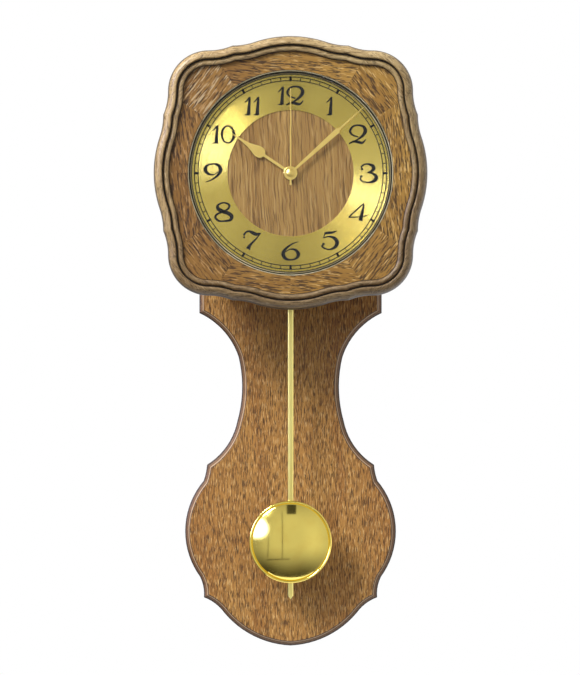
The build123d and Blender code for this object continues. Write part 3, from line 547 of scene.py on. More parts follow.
def clearGlass():
    finish = Finish("clearGlass")
    smear = finish.noise(finish.x * 0.02, 0.0, finish.z * 0.02, 3)
    gloss = finish.node("ShaderNodeBsdfGlossy", {}, {"Roughness": 0.02, "Color": (1, 1, 1)})
    clear = finish.node("ShaderNodeBsdfTransparent", {}, {"Color": (0.985, 0.992, 0.987)})
    edge = finish.node("ShaderNodeFresnel", {}, {"IOR": 1.45})
    share = edge * (smear * 0.2 + 0.2)
    return finish.done(finish.node("ShaderNodeMixShader", {}, {0: share, 1: clear, 2: gloss}))


def printedInk():
    look = {"dark": (0.006, 0.006, 0.008), "light": (0.02, 0.018, 0.016), "rough": 0.35, "specular": 0.15}
    finish = Finish("printedInk")
    specks = finish.noise(finish.x * 1.5, 0.0, finish.z * 1.5, 3)
    tone = finish.mix(look["dark"], look["light"], specks)
    rough = specks * 0.2 + look["rough"]
    shader = finish.surface(Base_Color=tone, Roughness=rough, Specular_IOR_Level=look["specular"])
    return finish.done(shader)


# finishes by the record's slots
boardFinish = boardWood()
frameFinish = runningWood("frameWood", frameLook)
handFinish = brushedMetal("handBrass", (1.0, 0.74, 0.22), (0.95, 0.68, 0.19), 0.36, (2.0, 2.0, 2.0), 0.06)
bobFinish = brushedMetal("bobBrass", (1.0, 0.80, 0.19), (0.97, 0.75, 0.17), 0.09, (0.1, 0.1, 0.1), 0.01)
steelFinish = brushedMetal("zincSteel", (0.62, 0.63, 0.64), (0.50, 0.51, 0.53), 0.33, (1.5, 1.5, 1.5), 0.15)
nickelFinish = brushedMetal("nickelSteel", (0.78, 0.77, 0.74), (0.66, 0.65, 0.62), 0.24, (3, 3, 0.2), 0.15)
ironFinish = brushedMetal("statorIron", (0.44, 0.44, 0.45), (0.34, 0.34, 0.35), 0.42, (0.3, 3, 3), 0.3)
blackFinish = moulded("blackPlastic", (0.028, 0.028, 0.031), (0.018, 0.018, 0.02), 0.42, 0.35)
slotFinishes = {
    "case_wood": boardFinish,
    "frame_wood": frameFinish,
    "face_veneer": runningWood("faceVeneer", veneerLook),
    "dial_wood": dialWood(),
    "dial_base": pressedBoard(),
    "ring_brass": ringBrass(),
    "hand_brass": handFinish,
    "bob_brass": bobFinish,
    "rod_brass": drawnBrass(),
    "turned_brass": turnedBrass(),
    "glass": clearGlass(),
    "glass_rim": lacqueredRim(),
    "steel": steelFinish,
    "plated_steel": nickelFinish,
    "stator_iron": ironFinish,
    "magnet": magnetStone(),
    "felt": felt(),
    "rubber": moulded("rubber", (0.022, 0.022, 0.022), (0.014, 0.014, 0.014), 0.7, 0.5, 4.0),
    "black_plastic": blackFinish,
    "white_plastic": moulded("whitePlastic", (0.80, 0.79, 0.74), (0.72, 0.71, 0.66), 0.36, 0.2),
    "gear_plastic": moulded("gearPlastic", (0.84, 0.83, 0.78), (0.76, 0.75, 0.69), 0.28, 0.1, 1.2),
    "copper_wire": copperWire(),
    "circuit_green": circuitGreen(),
    "battery_sleeve": batterySleeve(),
}
inkFinish = printedInk()
for part in nodes.values():
    for given in part.material_slots:
        given.material = slotFinishes[given.material.name]
print("finishes laid on", len(slotFinishes), "slots")


# moulded frame round the head

headOutline = {
    "crest": 121.3, "crestRadius": 100.0, "crestTurn": 18.5, "cusp": 51.5, "flat": 108.6, "corner": 36.0,
    "crestSteps": 54, "shoulderSteps": 44, "arcSteps": 60, "roundSteps": 90,
}


def headChains():  # one eighth of the outline: up to the cusp, and from the cusp to the corner's middle
    size = headOutline
    turn = math.radians(size["crestTurn"])
    valley = size["cusp"] / math.sin(turn) - size["crestRadius"]
    cuspHeight = size["crest"] - (size["crestRadius"] + valley) * (1 - math.cos(turn))
    start = size["flat"] - size["corner"]
    arcSteps = size["arcSteps"]
    roundSteps = size["roundSteps"]
    crestCentre = (0, size["crest"] - size["crestRadius"])
    crest = arcPoints(crestCentre, (size["crestRadius"],) * 2, 90, 90 - size["crestTurn"], roundSteps)
    hollowCentre = (size["cusp"], cuspHeight + valley)
    hollow = arcPoints(hollowCentre, (valley,) * 2, -90 - size["crestTurn"], -90, arcSteps)
    rise = cuspHeight - size["flat"]
    run = start - size["cusp"]
    shoulder = (run * run + rise * rise) / (2 * rise)
    sweep = math.degrees(math.asin(run / shoulder))
    flank = arcPoints((start, size["flat"] + shoulder), (shoulder,) * 2, -90 - sweep, -90, arcSteps)
    bend = arcPoints((start, start), (size["corner"],) * 2, 90, 45, roundSteps)
    return crest + hollow[1:], flank + bend[1:]


def shifted(chain, inset):  # moved inwards, square to its own line
    found = []
    for i, spot in enumerate(chain):
        before = chain[max(i - 1, 0)]
        after = chain[min(i + 1, len(chain) - 1)]
        run = Vector((after[0] - before[0], after[1] - before[1])).normalized()
        found.append((spot[0] + run.y * inset, spot[1] - run.x * inset))
    return found


def crossing(first, second):  # where two chains meet: (index, index, point)
    best = None
    for i in range(len(first) - 1):
        a, b = Vector(first[i]), Vector(first[i + 1])
        for j in range(len(second) - 1):
            c, d = Vector(second[j]), Vector(second[j + 1])
            under = (b - a).cross(d - c)
            if abs(under) < 1e-12:
                continue
            s = (c - a).cross(d - c) / under
            t = (c - a).cross(b - a) / under
            if -1e-9 <= s <= 1 + 1e-9 and -1e-9 <= t <= 1 + 1e-9:
                best = (i, j, tuple(a + (b - a) * s))
    return best


def evenly(chain, steps):  # the same number of equal steps, whatever its length
    lengths = [0.0]
    for a, b in zip(chain, chain[1:]):
        lengths.append(lengths[-1] + math.dist(a, b))
    found = []
    at = 0
    for i in range(steps + 1):
        goal = lengths[-1] * i / steps
        while at < len(chain) - 2 and lengths[at + 1] < goal:
            at += 1
        share = (goal - lengths[at]) / max(lengths[at + 1] - lengths[at], 1e-9)
        share = min(max(share, 0.0), 1.0)
        a, b = chain[at], chain[at + 1]
        found.append((a[0] + (b[0] - a[0]) * share, a[1] + (b[1] - a[1]) * share))
    return found


def headLoop(inset):  # the whole outline moved inwards, the same count of points for every inset
    crest, shoulder = headChains()
    if inset:
        tail = crest[-60:]
        crestMoved = shifted(crest, inset)
        shoulderMoved = shifted(shoulder, inset)
        skip = len(crest) - len(tail)
        i, j, meet = crossing(crestMoved[skip:], shoulderMoved[:100])
        crest = crestMoved[:skip + i + 1] + [meet]
        shoulder = [meet] + shoulderMoved[j + 1:]
    eighth = evenly(crest, headOutline["crestSteps"]) + evenly(shoulder, headOutline["shoulderSteps"])[1:]
    folded = [(z, x) for x, z in reversed(eighth)]
    quarter = eighth + folded[1:]
    loop = []
    for cosine, sine in ((1, 0), (0, 1), (-1, 0), (0, -1)):
        for x, z in quarter[:-1]:
            loop.append((x * cosine + z * sine, z * cosine - x * sine))
    return loop


mouldingShape = {"back": 77.0, "front": 98.3, "inner": 14.0, "rebateIn": 6.0, "rebateOut": 83.0}


def moulding():
    size = mouldingShape
    profile = [(0.0, size["back"]), (0.0, 84.0), (0.0, 88.5), (0.25, 90.0)]
    profile += [(6.6 - x, out) for x, out in arcPoints((0, 91.0), (6.2, 7.3), 0, 90, 9)]
    profile += [(7.1, 98.15), (7.45, 97.6), (7.6, 96.4), (7.7, 94.0)]
    profile += [(7.95, 93.2), (8.7, 93.2), (8.85, 94.0)]
    profile += [(11.4 - x, out) for x, out in arcPoints((0, 94.0), (2.45, 1.9), 10, 90, 5)]
    profile += [(12.5, 95.6), (13.2, 95.0), (13.5, 94.2), (13.75, 93.3), (size["inner"], 92.9)]
    profile += [(size["inner"], size["rebateOut"]), (size["rebateIn"], size["rebateOut"])]
    profile.append((size["rebateIn"], size["back"]))
    loops = {}
    points = []
    for inset, out in profile:
        if inset not in loops:
            loops[inset] = headLoop(inset)
        points += [(x, out, z) for x, z in loops[inset]]
    count = len(loops[0.0])
    faces = []
    for row in range(len(profile)):
        nextRow = (row + 1) % len(profile)
        for i in range(count):
            j = (i + 1) % count
            faces.append([row * count + i, row * count + j, nextRow * count + j, nextRow * count + i])
    piece = dressMesh(meshPiece("mouldedFrame", points, faces), 19)
    return fit(piece, "case", frameFinish, ["front_frame"])


moulding()
print("moulded frame made")


# printed numerals

numeralLook = {"height": 16.4, "ringRadius": 68.7, "face": 84.0, "ink": 0.05, "steps": 7, "advance": 0.47,
               "weight": 1.22}
strokes = {
    "1": [{"path": [(0.02, 0.70, 0.018), (0.14, 0.80, 0.03), (0.27, 0.97, 0.035)]},
          {"path": [(0.30, 1.0, 0.03), (0.275, 0.75, 0.055), (0.245, 0.35, 0.07), (0.225, 0.02, 0.085)]},
          {"path": [(0.0, 0.02, 0.012), (0.12, 0.035, 0.03), (0.24, 0.05, 0.05)]}],
    "2": [{"path": [(0.50, 0.36, 0.03), (0.18, 0.48, 0.04), (0.06, 0.68, 0.055), (0.20, 0.92, 0.045),
                    (0.47, 1.0, 0.04), (0.78, 0.92, 0.06), (0.88, 0.68, 0.085), (0.72, 0.42, 0.06),
                    (0.38, 0.18, 0.035), (0.0, 0.0, 0.03)]},
          {"path": [(0.02, 0.02, 0.02), (0.25, 0.12, 0.05), (0.50, 0.09, 0.065), (0.72, 0.05, 0.05),
                    (0.92, 0.24, 0.02)]}],
    "3": [{"path": [(0.10, 0.80, 0.045), (0.22, 0.94, 0.035), (0.45, 1.0, 0.04), (0.72, 0.90, 0.075),
                    (0.78, 0.74, 0.08), (0.62, 0.58, 0.05), (0.44, 0.53, 0.03)]},
          {"path": [(0.44, 0.53, 0.03), (0.75, 0.47, 0.05), (0.92, 0.28, 0.085), (0.80, 0.08, 0.07),
                    (0.48, 0.0, 0.035), (0.14, 0.08, 0.035), (0.04, 0.24, 0.045)]},
          {"ball": (0.15, 0.72, 0.07)}, {"ball": (0.11, 0.32, 0.07)}],
    "4": [{"path": [(0.86, 0.98, 0.02), (0.55, 0.70, 0.035), (0.02, 0.22, 0.03)]},
          {"path": [(0.02, 0.21, 0.03), (0.40, 0.22, 0.025), (0.75, 0.24, 0.02), (1.0, 0.31, 0.03)]},
          {"path": [(0.84, 0.98, 0.02), (0.78, 0.60, 0.055), (0.70, 0.25, 0.075), (0.66, 0.02, 0.095)]}],
    "5": [{"path": [(0.20, 0.87, 0.045), (0.42, 0.90, 0.06), (0.62, 0.92, 0.05), (0.86, 1.0, 0.02)]},
          {"path": [(0.24, 0.88, 0.03), (0.18, 0.72, 0.025), (0.16, 0.60, 0.025)]},
          {"path": [(0.16, 0.62, 0.02), (0.42, 0.70, 0.035), (0.72, 0.62, 0.07), (0.88, 0.40, 0.09),
                    (0.78, 0.14, 0.07), (0.46, 0.0, 0.035), (0.14, 0.10, 0.04), (0.06, 0.24, 0.055)]},
          {"ball": (0.14, 0.29, 0.075)}],
    "6": [{"path": [(0.88, 0.98, 0.015), (0.55, 0.86, 0.03), (0.22, 0.62, 0.055), (0.06, 0.34, 0.085),
                    (0.18, 0.08, 0.07), (0.45, 0.0, 0.035), (0.76, 0.08, 0.05), (0.88, 0.30, 0.085),
                    (0.74, 0.52, 0.06), (0.46, 0.58, 0.03), (0.20, 0.44, 0.02)]}],
    "7": [{"path": [(0.05, 0.76, 0.05), (0.18, 0.94, 0.04), (0.36, 0.98, 0.05), (0.58, 0.88, 0.075),
                    (0.76, 0.82, 0.07), (0.97, 0.88, 0.025)]},
          {"path": [(0.98, 0.90, 0.02), (0.72, 0.58, 0.035), (0.40, 0.24, 0.06), (0.28, 0.02, 0.11)]},
          {"ball": (0.07, 0.66, 0.055)}],
    "8": [{"closed": True,
           "path": [(0.48, 0.51, 0.085), (0.20, 0.66, 0.085), (0.18, 0.86, 0.05), (0.48, 1.0, 0.035),
                    (0.78, 0.88, 0.05), (0.74, 0.68, 0.045), (0.50, 0.53, 0.04), (0.14, 0.38, 0.045),
                    (0.04, 0.20, 0.05), (0.22, 0.02, 0.045), (0.50, 0.0, 0.04), (0.84, 0.06, 0.06),
                    (0.92, 0.26, 0.085), (0.74, 0.42, 0.085)]}],
    "0": [{"closed": True,
           "path": [(0.06, 0.50, 0.055), (0.15, 0.82, 0.045), (0.385, 0.96, 0.03), (0.62, 0.82, 0.05),
                    (0.71, 0.50, 0.068), (0.62, 0.18, 0.05), (0.385, 0.04, 0.03), (0.15, 0.18, 0.045)]}],
}
figureWidths = {"1": 0.34, "2": 0.93, "3": 0.95, "4": 1.0, "5": 0.92, "6": 0.92, "7": 0.98, "8": 0.96,
                "9": 0.92, "0": 0.77}


def curvePoint(before, start, end, after, t):  # a smooth curve through four values
    return 0.5 * (2 * start + (end - before) * t + (2 * before - 5 * start + 4 * end - after) * t * t
                  + (3 * start - before - 3 * end + after) * t * t * t)


def smoothPath(path, closed, steps):  # (x, z, half width) along the stroke
    count = len(path)
    found = []
    for i in range(count if closed else count - 1):
        near = [i + k for k in (-1, 0, 1, 2)]
        four = [path[k % count] if closed else path[min(max(k, 0), count - 1)] for k in near]
        for step in range(steps):
            found.append([curvePoint(*[p[axis] for p in four], step / steps) for axis in range(3)])
    if not closed:
        found.append(list(path[-1]))
    return found


def inkRibbon(path, closed, size):  # a flat stroke of ink as a closed shell
    line = smoothPath(path, closed, size["steps"])
    count = len(line)
    points = []
    for i, (x, z, thin) in enumerate(line):
        half = thin * size["weight"]
        before = line[(i - 1) % count] if closed else line[max(i - 1, 0)]
        after = line[(i + 1) % count] if closed else line[min(i + 1, count - 1)]
        run = Vector((after[0] - before[0], after[1] - before[1])).normalized()
        for side in (1, -1):
            for out in (size["face"], size["face"] + size["ink"]):
                points.append((x - run.y * half * side, out, z + run.x * half * side))
    faces = []
    for i in range(count if closed else count - 1):
        a = i * 4
        b = ((i + 1) % count) * 4
        for first, second in ((0, 1), (1, 3), (3, 2), (2, 0)):
            faces.append([a + first, a + second, b + second, b + first])
    if not closed:
        last = (count - 1) * 4
        faces += [[0, 2, 3, 1], [last, last + 1, last + 3, last + 2]]
    return points, faces


def inkBall(ball, size):
    x, z, radius = ball
    edge = [(radius, size["face"]), (radius, size["face"] + size["ink"])]
    return turnedShell([(0.0, size["face"])] + edge + [(0.0, size["face"] + size["ink"])], (x, z), 20)


def figureShells(figure, size):
    if figure == "9":
        turned = []
        for points, faces in figureShells("6", size):
            turned.append(([(figureWidths["6"] - x, out, 1 - z) for x, out, z in points], faces))
        return turned
    shells = []
    for stroke in strokes[figure]:
        if "ball" in stroke:
            shells.append(inkBall(stroke["ball"], size))
        else:
            shells.append(inkRibbon(stroke["path"], stroke.get("closed", False), size))
    return shells


def numerals():
    size = numeralLook
    shells = []
    for hour in range(1, 13):
        angle = math.radians(30 * hour)
        text = str(hour)
        width = figureWidths[text[-1]] + size["advance"] * (len(text) - 1)
        centreX = size["ringRadius"] * math.sin(angle)
        centreZ = size["ringRadius"] * math.cos(angle)
        start = -width / 2
        for figure in text:
            for points, faces in figureShells(figure, size):
                moved = [(centreX + (x + start) * size["height"], out, centreZ + (z - 0.5) * size["height"])
                         for x, out, z in points]
                shells.append((moved, faces))
            start += size["advance"]
    piece = dressMesh(meshPiece("numerals", *joined(shells)), 30)
    return fit(piece, "case", inkFinish)


numerals()
print("numerals made")


# things that repeat, grown by geometry trees

def newTree(name, numbers, counts=()):  # a tree with named sizes and a material
    tree = bpy.data.node_groups.new(name, "GeometryNodeTree")
    tree.interface.new_socket(name="Places", in_out="INPUT", socket_type="NodeSocketGeometry")
    for label in numbers:
        tree.interface.new_socket(name=label, in_out="INPUT", socket_type="NodeSocketFloat")
    for label in counts:
        tree.interface.new_socket(name=label, in_out="INPUT", socket_type="NodeSocketInt")
    tree.interface.new_socket(name="Finish", in_out="INPUT", socket_type="NodeSocketMaterial")
    tree.interface.new_socket(name="Shape", in_out="OUTPUT", socket_type="NodeSocketGeometry")
    maker = Maker(tree)
    return maker, maker.node("NodeGroupInput", {}, {}, "Places")


def closeTree(maker, given, shape):
    real = maker.node("GeometryNodeRealizeInstances", {}, {0: shape})
    sockets = {"Geometry": real, "Material": given.other("Finish")}
    dressed = maker.node("GeometryNodeSetMaterial", {}, sockets)
    outputless(maker, "NodeGroupOutput", {0: dressed})
    return maker.tree


def grown(name, tree, sizes, finish, spots=((0, 0, 0),)):  # runs a tree and keeps the plain mesh
    start = bpy.data.meshes.new(name)
    start.from_pydata([tuple(spot) for spot in spots], [], [])
    holder = bpy.data.objects.new(name, start)
    bpy.context.scene.collection.objects.link(holder)
    grower = holder.modifiers.new("grower", "NODES")
    grower.node_group = tree
    values = {**sizes, "Finish": finish}
    for item in tree.interface.items_tree:
        if item.item_type == "SOCKET" and item.in_out == "INPUT" and item.name in values:
            grower[item.identifier] = values[item.name]
    graph = bpy.context.evaluated_depsgraph_get()
    plain = bpy.data.meshes.new_from_object(holder.evaluated_get(graph), depsgraph=graph)
    holder.modifiers.clear()
    holder.data = plain
    return holder


def shiftMesh(piece, offset):
    for vertex in piece.data.vertices:
        vertex.co += offset
    return piece


minuteTrack = {
    "Inner radius": 82.1 * mm, "Outer radius": 85.3 * mm, "Line width": 0.75 * mm, "Ink": 0.05 * mm,
    "Tick width": 0.75 * mm, "Block width": 2.0 * mm, "Block length": 4.4 * mm, "Ticks": 60, "Blocks": 12,
}


def trackTree():
    labels = [name for name in minuteTrack if name not in ("Ticks", "Blocks")]
    maker, given = newTree("minuteTrack", labels, ("Ticks", "Blocks"))
    middle = (given.other("Inner radius") + given.other("Outer radius")) * 0.5
    reach = given.other("Outer radius") - given.other("Inner radius")
    shapes = []
    for label in ("Inner radius", "Outer radius"):
        ring = maker.node("GeometryNodeCurvePrimitiveCircle", {},
                          {"Resolution": 360, "Radius": given.other(label)})
        section = maker.node("GeometryNodeCurvePrimitiveQuadrilateral", {},
                             {"Width": given.other("Line width"), "Height": given.other("Ink")})
        shapes.append(maker.node("GeometryNodeCurveToMesh", {}, {"Curve": ring, "Profile Curve": section}))
    for count, width, length in (("Ticks", given.other("Tick width"), reach),
                                 ("Blocks", given.other("Block width"), given.other("Block length"))):
        spots = maker.node("GeometryNodeMeshCircle", {}, {"Vertices": given.other(count), "Radius": middle})
        size = maker.vector(length, width, given.other("Ink") * 1.2)
        bar = maker.node("GeometryNodeMeshCube", {}, {"Size": size})
        turn = maker.node("GeometryNodeInputIndex") * (2 * math.pi) / given.other(count)
        sockets = {"Points": spots, "Instance": bar, "Rotation": maker.vector(0.0, 0.0, turn)}
        shapes.append(maker.node("GeometryNodeInstanceOnPoints", {}, sockets))
    whole = maker.node("GeometryNodeJoinGeometry", {}, {0: shapes})
    upright = maker.node("GeometryNodeTransform", {}, {"Geometry": whole, "Rotation": (math.pi / 2, 0, 0)})
    return closeTree(maker, given, upright)


track = grown("minuteTrack", trackTree(), minuteTrack, inkFinish)
shiftMesh(track, place(0, numeralLook["face"] + 0.02, 0))
fit(dressMesh(track, 30), "case", inkFinish)
print("minute track made")


# screws: a pan head with a cross recess on a plain shank

def screwTree():
    maker, given = newTree("screw", ("Head radius", "Head height", "Shank radius", "Shank length"))
    radius = given.other("Head radius")
    height = given.other("Head height")
    head = maker.node("GeometryNodeMeshCone", {}, {"Vertices": 40, "Radius Top": radius * 0.82,
                                                   "Radius Bottom": radius, "Depth": height})
    arms = []
    for turn in (0.0, math.pi / 2):
        size = maker.vector(radius * 1.1, radius * 0.26, height)
        bar = maker.node("GeometryNodeMeshCube", {}, {"Size": size})
        sockets = {"Geometry": bar, "Translation": maker.vector(0.0, 0.0, height), "Rotation": (0, 0, turn)}
        arms.append(maker.node("GeometryNodeTransform", {}, sockets))
    difference = {"operation": "DIFFERENCE"}
    cut = maker.node("GeometryNodeMeshBoolean", difference, {"Mesh 1": head, "Mesh 2": arms})
    thick = given.other("Shank radius")
    sockets = {"Vertices": 24, "Radius Top": thick, "Radius Bottom": thick * 0.55,
               "Depth": given.other("Shank length")}
    shank = maker.node("GeometryNodeMeshCone", {}, sockets)
    sockets = {"Geometry": shank, "Translation": maker.vector(0.0, 0.0, given.other("Shank length") * -1)}
    lowered = maker.node("GeometryNodeTransform", {}, sockets)
    screw = maker.node("GeometryNodeJoinGeometry", {}, {0: [cut, lowered]})
    facing = maker.node("GeometryNodeTransform", {}, {"Geometry": screw, "Rotation": (-math.pi / 2, 0, 0)})
    spread = maker.node("GeometryNodeInstanceOnPoints", {}, {"Points": given, "Instance": facing})
    return closeTree(maker, given, spread)


screwSets = {
    "case_screws": {"head": 3.8, "high": 2.1, "shank": 1.9, "length": 35.9, "back": 0.5,
                    "at": [(x, z) for x in (-74, 74) for z in (-60, 60)]},
    "frame_screws": {"head": 3.0, "high": 1.6, "shank": 1.5, "length": 14.0, "back": 75.4,
                     "at": [(111, 0), (0, 111), (-111, 0), (0, -111)]},
    "hanger_screws": {"head": 2.8, "high": 0.8, "shank": 1.4, "length": 11.2, "back": 0.0,
                      "at": [(-15, 81), (15, 81)]},
}
screwMaker = screwTree()
for nodeName, size in screwSets.items():
    sizes = {"Head radius": size["head"] * mm, "Head height": size["high"] * mm,
             "Shank radius": size["shank"] * mm, "Shank length": size["length"] * mm}
    spots = [place(x, size["back"] + size["high"], z) for x, z in size["at"]]
    piece = grown("screws." + nodeName, screwMaker, sizes, steelFinish, spots)
    fit(dressMesh(piece, 30), "case", steelFinish, [nodeName])
print("screws made")


# hands, crowned along their middle

handShapes = {
    "hour": {"out": 85.7, "thick": 0.5, "edge": 0.2, "crown": 0.1, "turn": 304.0, "hub": 5.0, "hole": 2.4,
             "line": [(0.0, 1.2), (28.0, 1.2), (28.5, 1.9), (29.3, 3.2), (30.4, 4.25), (32.0, 4.8),
                      (34.5, 5.0), (37.5, 4.3), (41.0, 3.0), (45.0, 1.9), (50.0, 1.25), (56.0, 0.75),
                      (62.0, 0.3)]},
    "minute": {"out": 86.9, "thick": 0.5, "edge": 0.2, "crown": 0.08, "turn": 48.0, "hub": 6.1, "hole": 1.6,
               "line": [(0.0, 0.9), (28.0, 1.65), (55.5, 2.4), (56.5, 2.35), (57.5, 1.3), (60.0, 0.85),
                        (87.0, 0.25)]},
    "second": {"out": 88.1, "thick": 0.3, "edge": 0.12, "crown": 0.1, "turn": 0.0, "hub": 3.75,
               "hole": 0.65, "line": [(-10.6, 1.0), (0.0, 0.62), (75.0, 0.42)]},
}


def clockHand(name, size):
    turn = math.radians(size["turn"])
    top = size["out"] + size["thick"]
    edge = size["out"] + size["edge"]
    points = []
    for along, half in size["line"]:
        rim = max(edge, top - half * size["crown"])
        section = ((-half, size["out"]), (-half, rim), (0.0, top), (half, rim), (half, size["out"]))
        for across, out in section:
            x = along * math.sin(turn) + across * math.cos(turn)
            z = along * math.cos(turn) - across * math.sin(turn)
            points.append((x, out, z))
    faces = []
    rows = len(size["line"])
    for row in range(rows - 1):
        for i in range(5):
            j = (i + 1) % 5
            faces.append([row * 5 + i, row * 5 + j, row * 5 + 5 + j, row * 5 + 5 + i])
    last = (rows - 1) * 5
    faces += [[4, 3, 2, 1, 0], [last + i for i in range(5)]]
    hub = [(size["hole"], size["out"]), (size["hub"], size["out"]), (size["hub"], edge),
           (size["hub"] - 0.35, top - 0.03), (size["hub"] * 0.72, top), (size["hole"], top)]
    shells = [(points, faces), turnedShell(hub, (0, 0), 72)]
    return dressMesh(meshPiece(name, *joined(shells)), 12)


for body, size in handShapes.items():
    fit(clockHand(body + "HandCrowned", size), body, handFinish, [body + "_hand"])
print("hands made")


# pendulum bob: a beaded rim round a polished dome

bobShape = {
    "drop": -329.4, "back": 43.5, "front": 53.0, "radius": 37.1, "bead": 1.1, "wall": 0.7, "segments": 160,
    "innerRings": 12, "outerRings": 27,
}


def bob():
    size = bobShape
    bead = size["bead"]
    rimInner = size["radius"] - 2 * bead
    rise = size["front"] - size["back"] - 0.6
    sphere = (rimInner * rimInner + rise * rise) / (2 * rise)
    profile = [(0.0, size["back"] + 0.6 + rise - size["wall"])]
    for i in range(1, size["innerRings"] + 1):
        radius = rimInner * i / size["innerRings"]
        out = size["front"] - size["wall"] - sphere + math.sqrt(sphere * sphere - radius * radius)
        profile.append((radius, max(out, size["back"])))
    profile += [(size["radius"] - 0.3, size["back"]), (size["radius"], size["back"] + 0.3)]
    profile += arcPoints((size["radius"] - bead, size["back"] + 0.55), (bead, 1.35), 0, 165, 10)
    profile.append((rimInner - 0.25, size["back"] + 0.62))
    for i in range(size["outerRings"], -1, -1):
        radius = (rimInner - 0.5) * i / size["outerRings"]
        out = size["front"] - sphere + math.sqrt(sphere * sphere - radius * radius)
        profile.append((radius, out))
    shell = turnedShell(profile, (0.0, size["drop"]), size["segments"])
    piece = dressMesh(meshPiece("bobPolished", *shell), 40)
    return fit(piece, "pendulum", bobFinish, ["bob_shell"])


bob()
print("bob made")


# pendulum rod: a strip with a rounded front and a pointed end

rodShape = {
    "back": 41.0, "shoulder": 42.0, "front": 42.6, "half": 2.4, "top": -70.0, "point": -377.8,
    "tip": -381.0,
}


def rod():
    size = rodShape
    section = [(-size["half"], size["back"]), (-size["half"], size["shoulder"])]
    for i in range(-4, 5):
        across = i / 5
        rise = size["front"] - size["shoulder"]
        section.append((size["half"] * across, size["shoulder"] + rise * math.sqrt(1 - across * across)))
    section += [(size["half"], size["shoulder"]), (size["half"], size["back"])]
    points = []
    for z, share in ((size["top"], 1.0), (size["point"], 1.0), (size["tip"], 0.06)):
        points += [(x * share, out, z) for x, out in section]
    count = len(section)
    faces = [list(range(count)), [2 * count + i for i in reversed(range(count))]]
    for row in (0, count):
        for i in range(count):
            j = (i + 1) % count
            faces.append([row + i, row + j, row + count + j, row + count + i])
    piece = dressMesh(meshPiece("roundedRod", points, faces), 35)
    return fit(piece, "pendulum", slotFinishes["rod_brass"], ["pendulum_rod"])


rod()
print("rod made")


# ribs on the setting knob

knobRibs = {"Knob radius": 5.75 * mm, "Rib radius": 0.45 * mm, "Rib length": 3.6 * mm, "Ribs": 26}


def ribTree():
    maker, given = newTree("knobRibs", ("Knob radius", "Rib radius", "Rib length"), ("Ribs",))
    spots = maker.node("GeometryNodeMeshCircle", {}, {"Vertices": given.other("Ribs"),
                                                     "Radius": given.other("Knob radius")})
    rib = maker.node("GeometryNodeMeshCylinder", {}, {"Vertices": 10, "Radius": given.other("Rib radius"),
                                                     "Depth": given.other("Rib length")})
    spread = maker.node("GeometryNodeInstanceOnPoints", {}, {"Points": spots, "Instance": rib})
    facing = maker.node("GeometryNodeTransform", {}, {"Geometry": spread, "Rotation": (math.pi / 2, 0, 0)})
    return closeTree(maker, given, facing)


knobOut = 55.6
knobCentre = joints["setting_spin"]["pos_m"]
ribs = grown("knobRibs", ribTree(), knobRibs, blackFinish)
shiftMesh(ribs, Vector((knobCentre[0], -knobOut * mm, knobCentre[2])))
fit(dressMesh(ribs, 40), "setting", blackFinish)
print("knob ribs made")


# camera, light and floor

studio = {
    "distance": 3.2, "aimX": -0.0005, "aimZ": -0.2238, "front": 0.092, "viewHeight": 0.5974,
    "floorDrop": 1.7, "floorHalf": 0.9, "sensor": 24.0, "boxSide": -1.55, "boxFront": -1.3, "boxRise": 1.6,
    "boxSize": 0.8, "boxPower": 96, "lobeSide": -0.77, "lobeUp": 0.27, "lobeReach": 0.32, "shine": 9,
    "shineTint": (1.0, 1.08, 1.8),
}
softLight = {"front": 0.1, "behind": 0.2, "high": 1.3, "low": 0.28, "base": 0.30}
roomLight = {
    "front": 0.28, "behind": 0.3, "high": 0.08, "low": 0.30, "base": 0.36, "right": 0.25, "glint": 1.1,
    "line": 0.6, "hatch": 0.9,
}


def areaLight(name, where, aim, width, height, power):
    lamp = bpy.data.lights.new(name, "AREA")
    lamp.shape = "RECTANGLE"
    lamp.size = width
    lamp.size_y = height
    lamp.energy = power
    holder = bpy.data.objects.new(name, lamp)
    holder.location = where
    holder.rotation_euler = (Vector(aim) - Vector(where)).to_track_quat("-Z", "Y").to_euler()
    bpy.context.scene.collection.objects.link(holder)


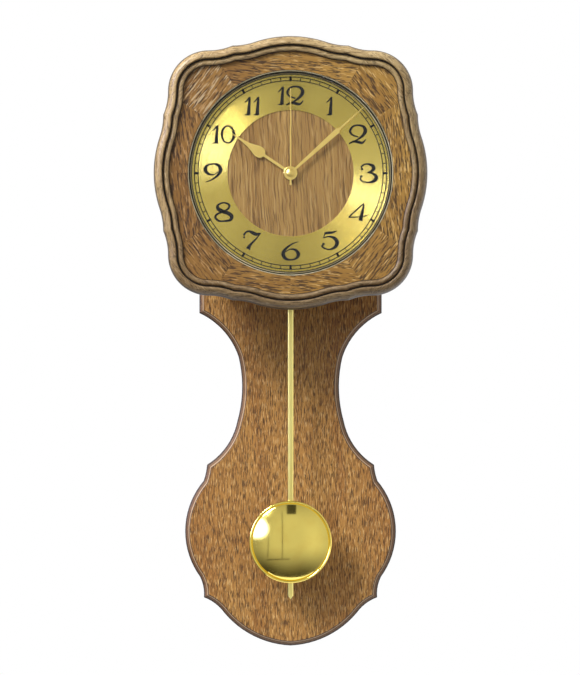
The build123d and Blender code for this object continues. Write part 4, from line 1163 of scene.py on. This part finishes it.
def makeStudio():
    size = studio
    scene = bpy.context.scene
    lens = bpy.data.cameras.new("camera")
    lens.sensor_fit = "VERTICAL"
    lens.sensor_height = size["sensor"]
    lens.sensor_width = size["sensor"]
    lens.lens = size["sensor"] * size["distance"] / size["viewHeight"]
    camera = bpy.data.objects.new("camera", lens)
    camera.location = (size["aimX"], -size["distance"] - size["front"], size["aimZ"])
    camera.rotation_euler = (math.pi / 2, 0, 0)
    scene.collection.objects.link(camera)
    scene.camera = camera
    scene.view_settings.view_transform = "Standard"
    head = (0, -0.09, handAxis.z)
    where = (size["boxSide"], size["boxFront"], handAxis.z + size["boxRise"])
    areaLight("keyBox", where, head, size["boxSize"], size["boxSize"], size["boxPower"])

    world = bpy.data.worlds.new("studio")
    world.use_nodes = True
    scene.world = world
    maker = Maker(world.node_tree)
    world.node_tree.nodes.clear()
    way = maker.node("ShaderNodeTexCoord", {}, {}, "Generated")
    split = maker.node("ShaderNodeSeparateXYZ", {}, {0: way})
    side, ahead, up = split, split.other("Y") * -1, split.other("Z")
    front = ahead.ramp(0.55, 0.95)
    behind = ahead.ramp(0.5, -0.9)
    high = up.ramp(0.1, 0.9)
    low = up.ramp(-0.1, -0.7)
    lobeSide = (side - size["lobeSide"]) / size["lobeReach"]
    lobeUp = (up - size["lobeUp"]) / size["lobeReach"]
    lobe = (lobeSide * lobeSide + lobeUp * lobeUp).ramp(1.0, 0.0) * ahead.above(0.0)
    # faint lines and a dark hatch, for polished metal to mirror
    seams = (1 - abs(side + 0.2).ramp(0.008, 0.02)) * abs(up - 0.1).ramp(0.6, 0.5)
    seams = seams + (1 - abs(side + 0.53).ramp(0.006, 0.018)) * abs(up - 0.05).ramp(0.5, 0.4)
    sill = (1 - abs(up + 0.46).ramp(0.008, 0.02)) * abs(side + 0.28).ramp(0.3, 0.22)
    hatch = abs(side - 0.02).ramp(0.12, 0.10) * abs(up - 0.72).ramp(0.12, 0.10) * ahead.above(0.0)
    look = roomLight
    room = front * look["front"] + behind * look["behind"] + high * look["high"] + look["base"]
    room = room - low * look["low"]
    room = room * (1 - (seams + sill) * ahead.above(0.0) * look["line"]) * (1 - hatch * look["hatch"])
    glint = (side * 0.6 - up * 0.8).ramp(0.3, 0.7) * ahead.ramp(0.42, 0.32)
    mirrored = maker.node("ShaderNodeLightPath", {}, {}, "Is Glossy Ray")
    # matt surfaces see an even light, glossy ones the room
    even = softLight
    soft = front * even["front"] + behind * even["behind"] + high * even["high"]
    soft = soft - low * even["low"] + even["base"]
    glossy = room + side.ramp(0.2, 0.8) * look["right"] + glint * look["glint"]
    glow = soft + (glossy - soft) * mirrored
    shine = lobe * lobe * mirrored * size["shine"]
    grey = maker.vector(*[glow + shine * share for share in size["shineTint"]])
    around = maker.node("ShaderNodeBackground", {}, {"Color": grey, "Strength": 1.0})
    white = maker.node("ShaderNodeBackground", {}, {"Color": (1, 1, 1), "Strength": 1.0})
    seen = maker.node("ShaderNodeLightPath", {}, {}, "Is Camera Ray")
    both = maker.node("ShaderNodeMixShader", {}, {0: seen, 1: around, 2: white})
    outputless(maker, "ShaderNodeOutputWorld", {"Surface": both})

    half = size["floorHalf"]
    bpy.ops.mesh.primitive_plane_add(size=2 * half, location=(0, 0, -size["floorDrop"]))
    floor = bpy.context.object
    floor.name = "floor"
    paint = Finish("paleFloor")
    speck = paint.noise(paint.x * 0.01, paint.out * 0.01, 0.0, 3)
    tone = paint.mix((0.78, 0.78, 0.77), (0.84, 0.84, 0.83), speck)
    floor.data.materials.append(paint.done(paint.surface(Base_Color=tone, Roughness=0.8)))


makeStudio()
print("studio lit")
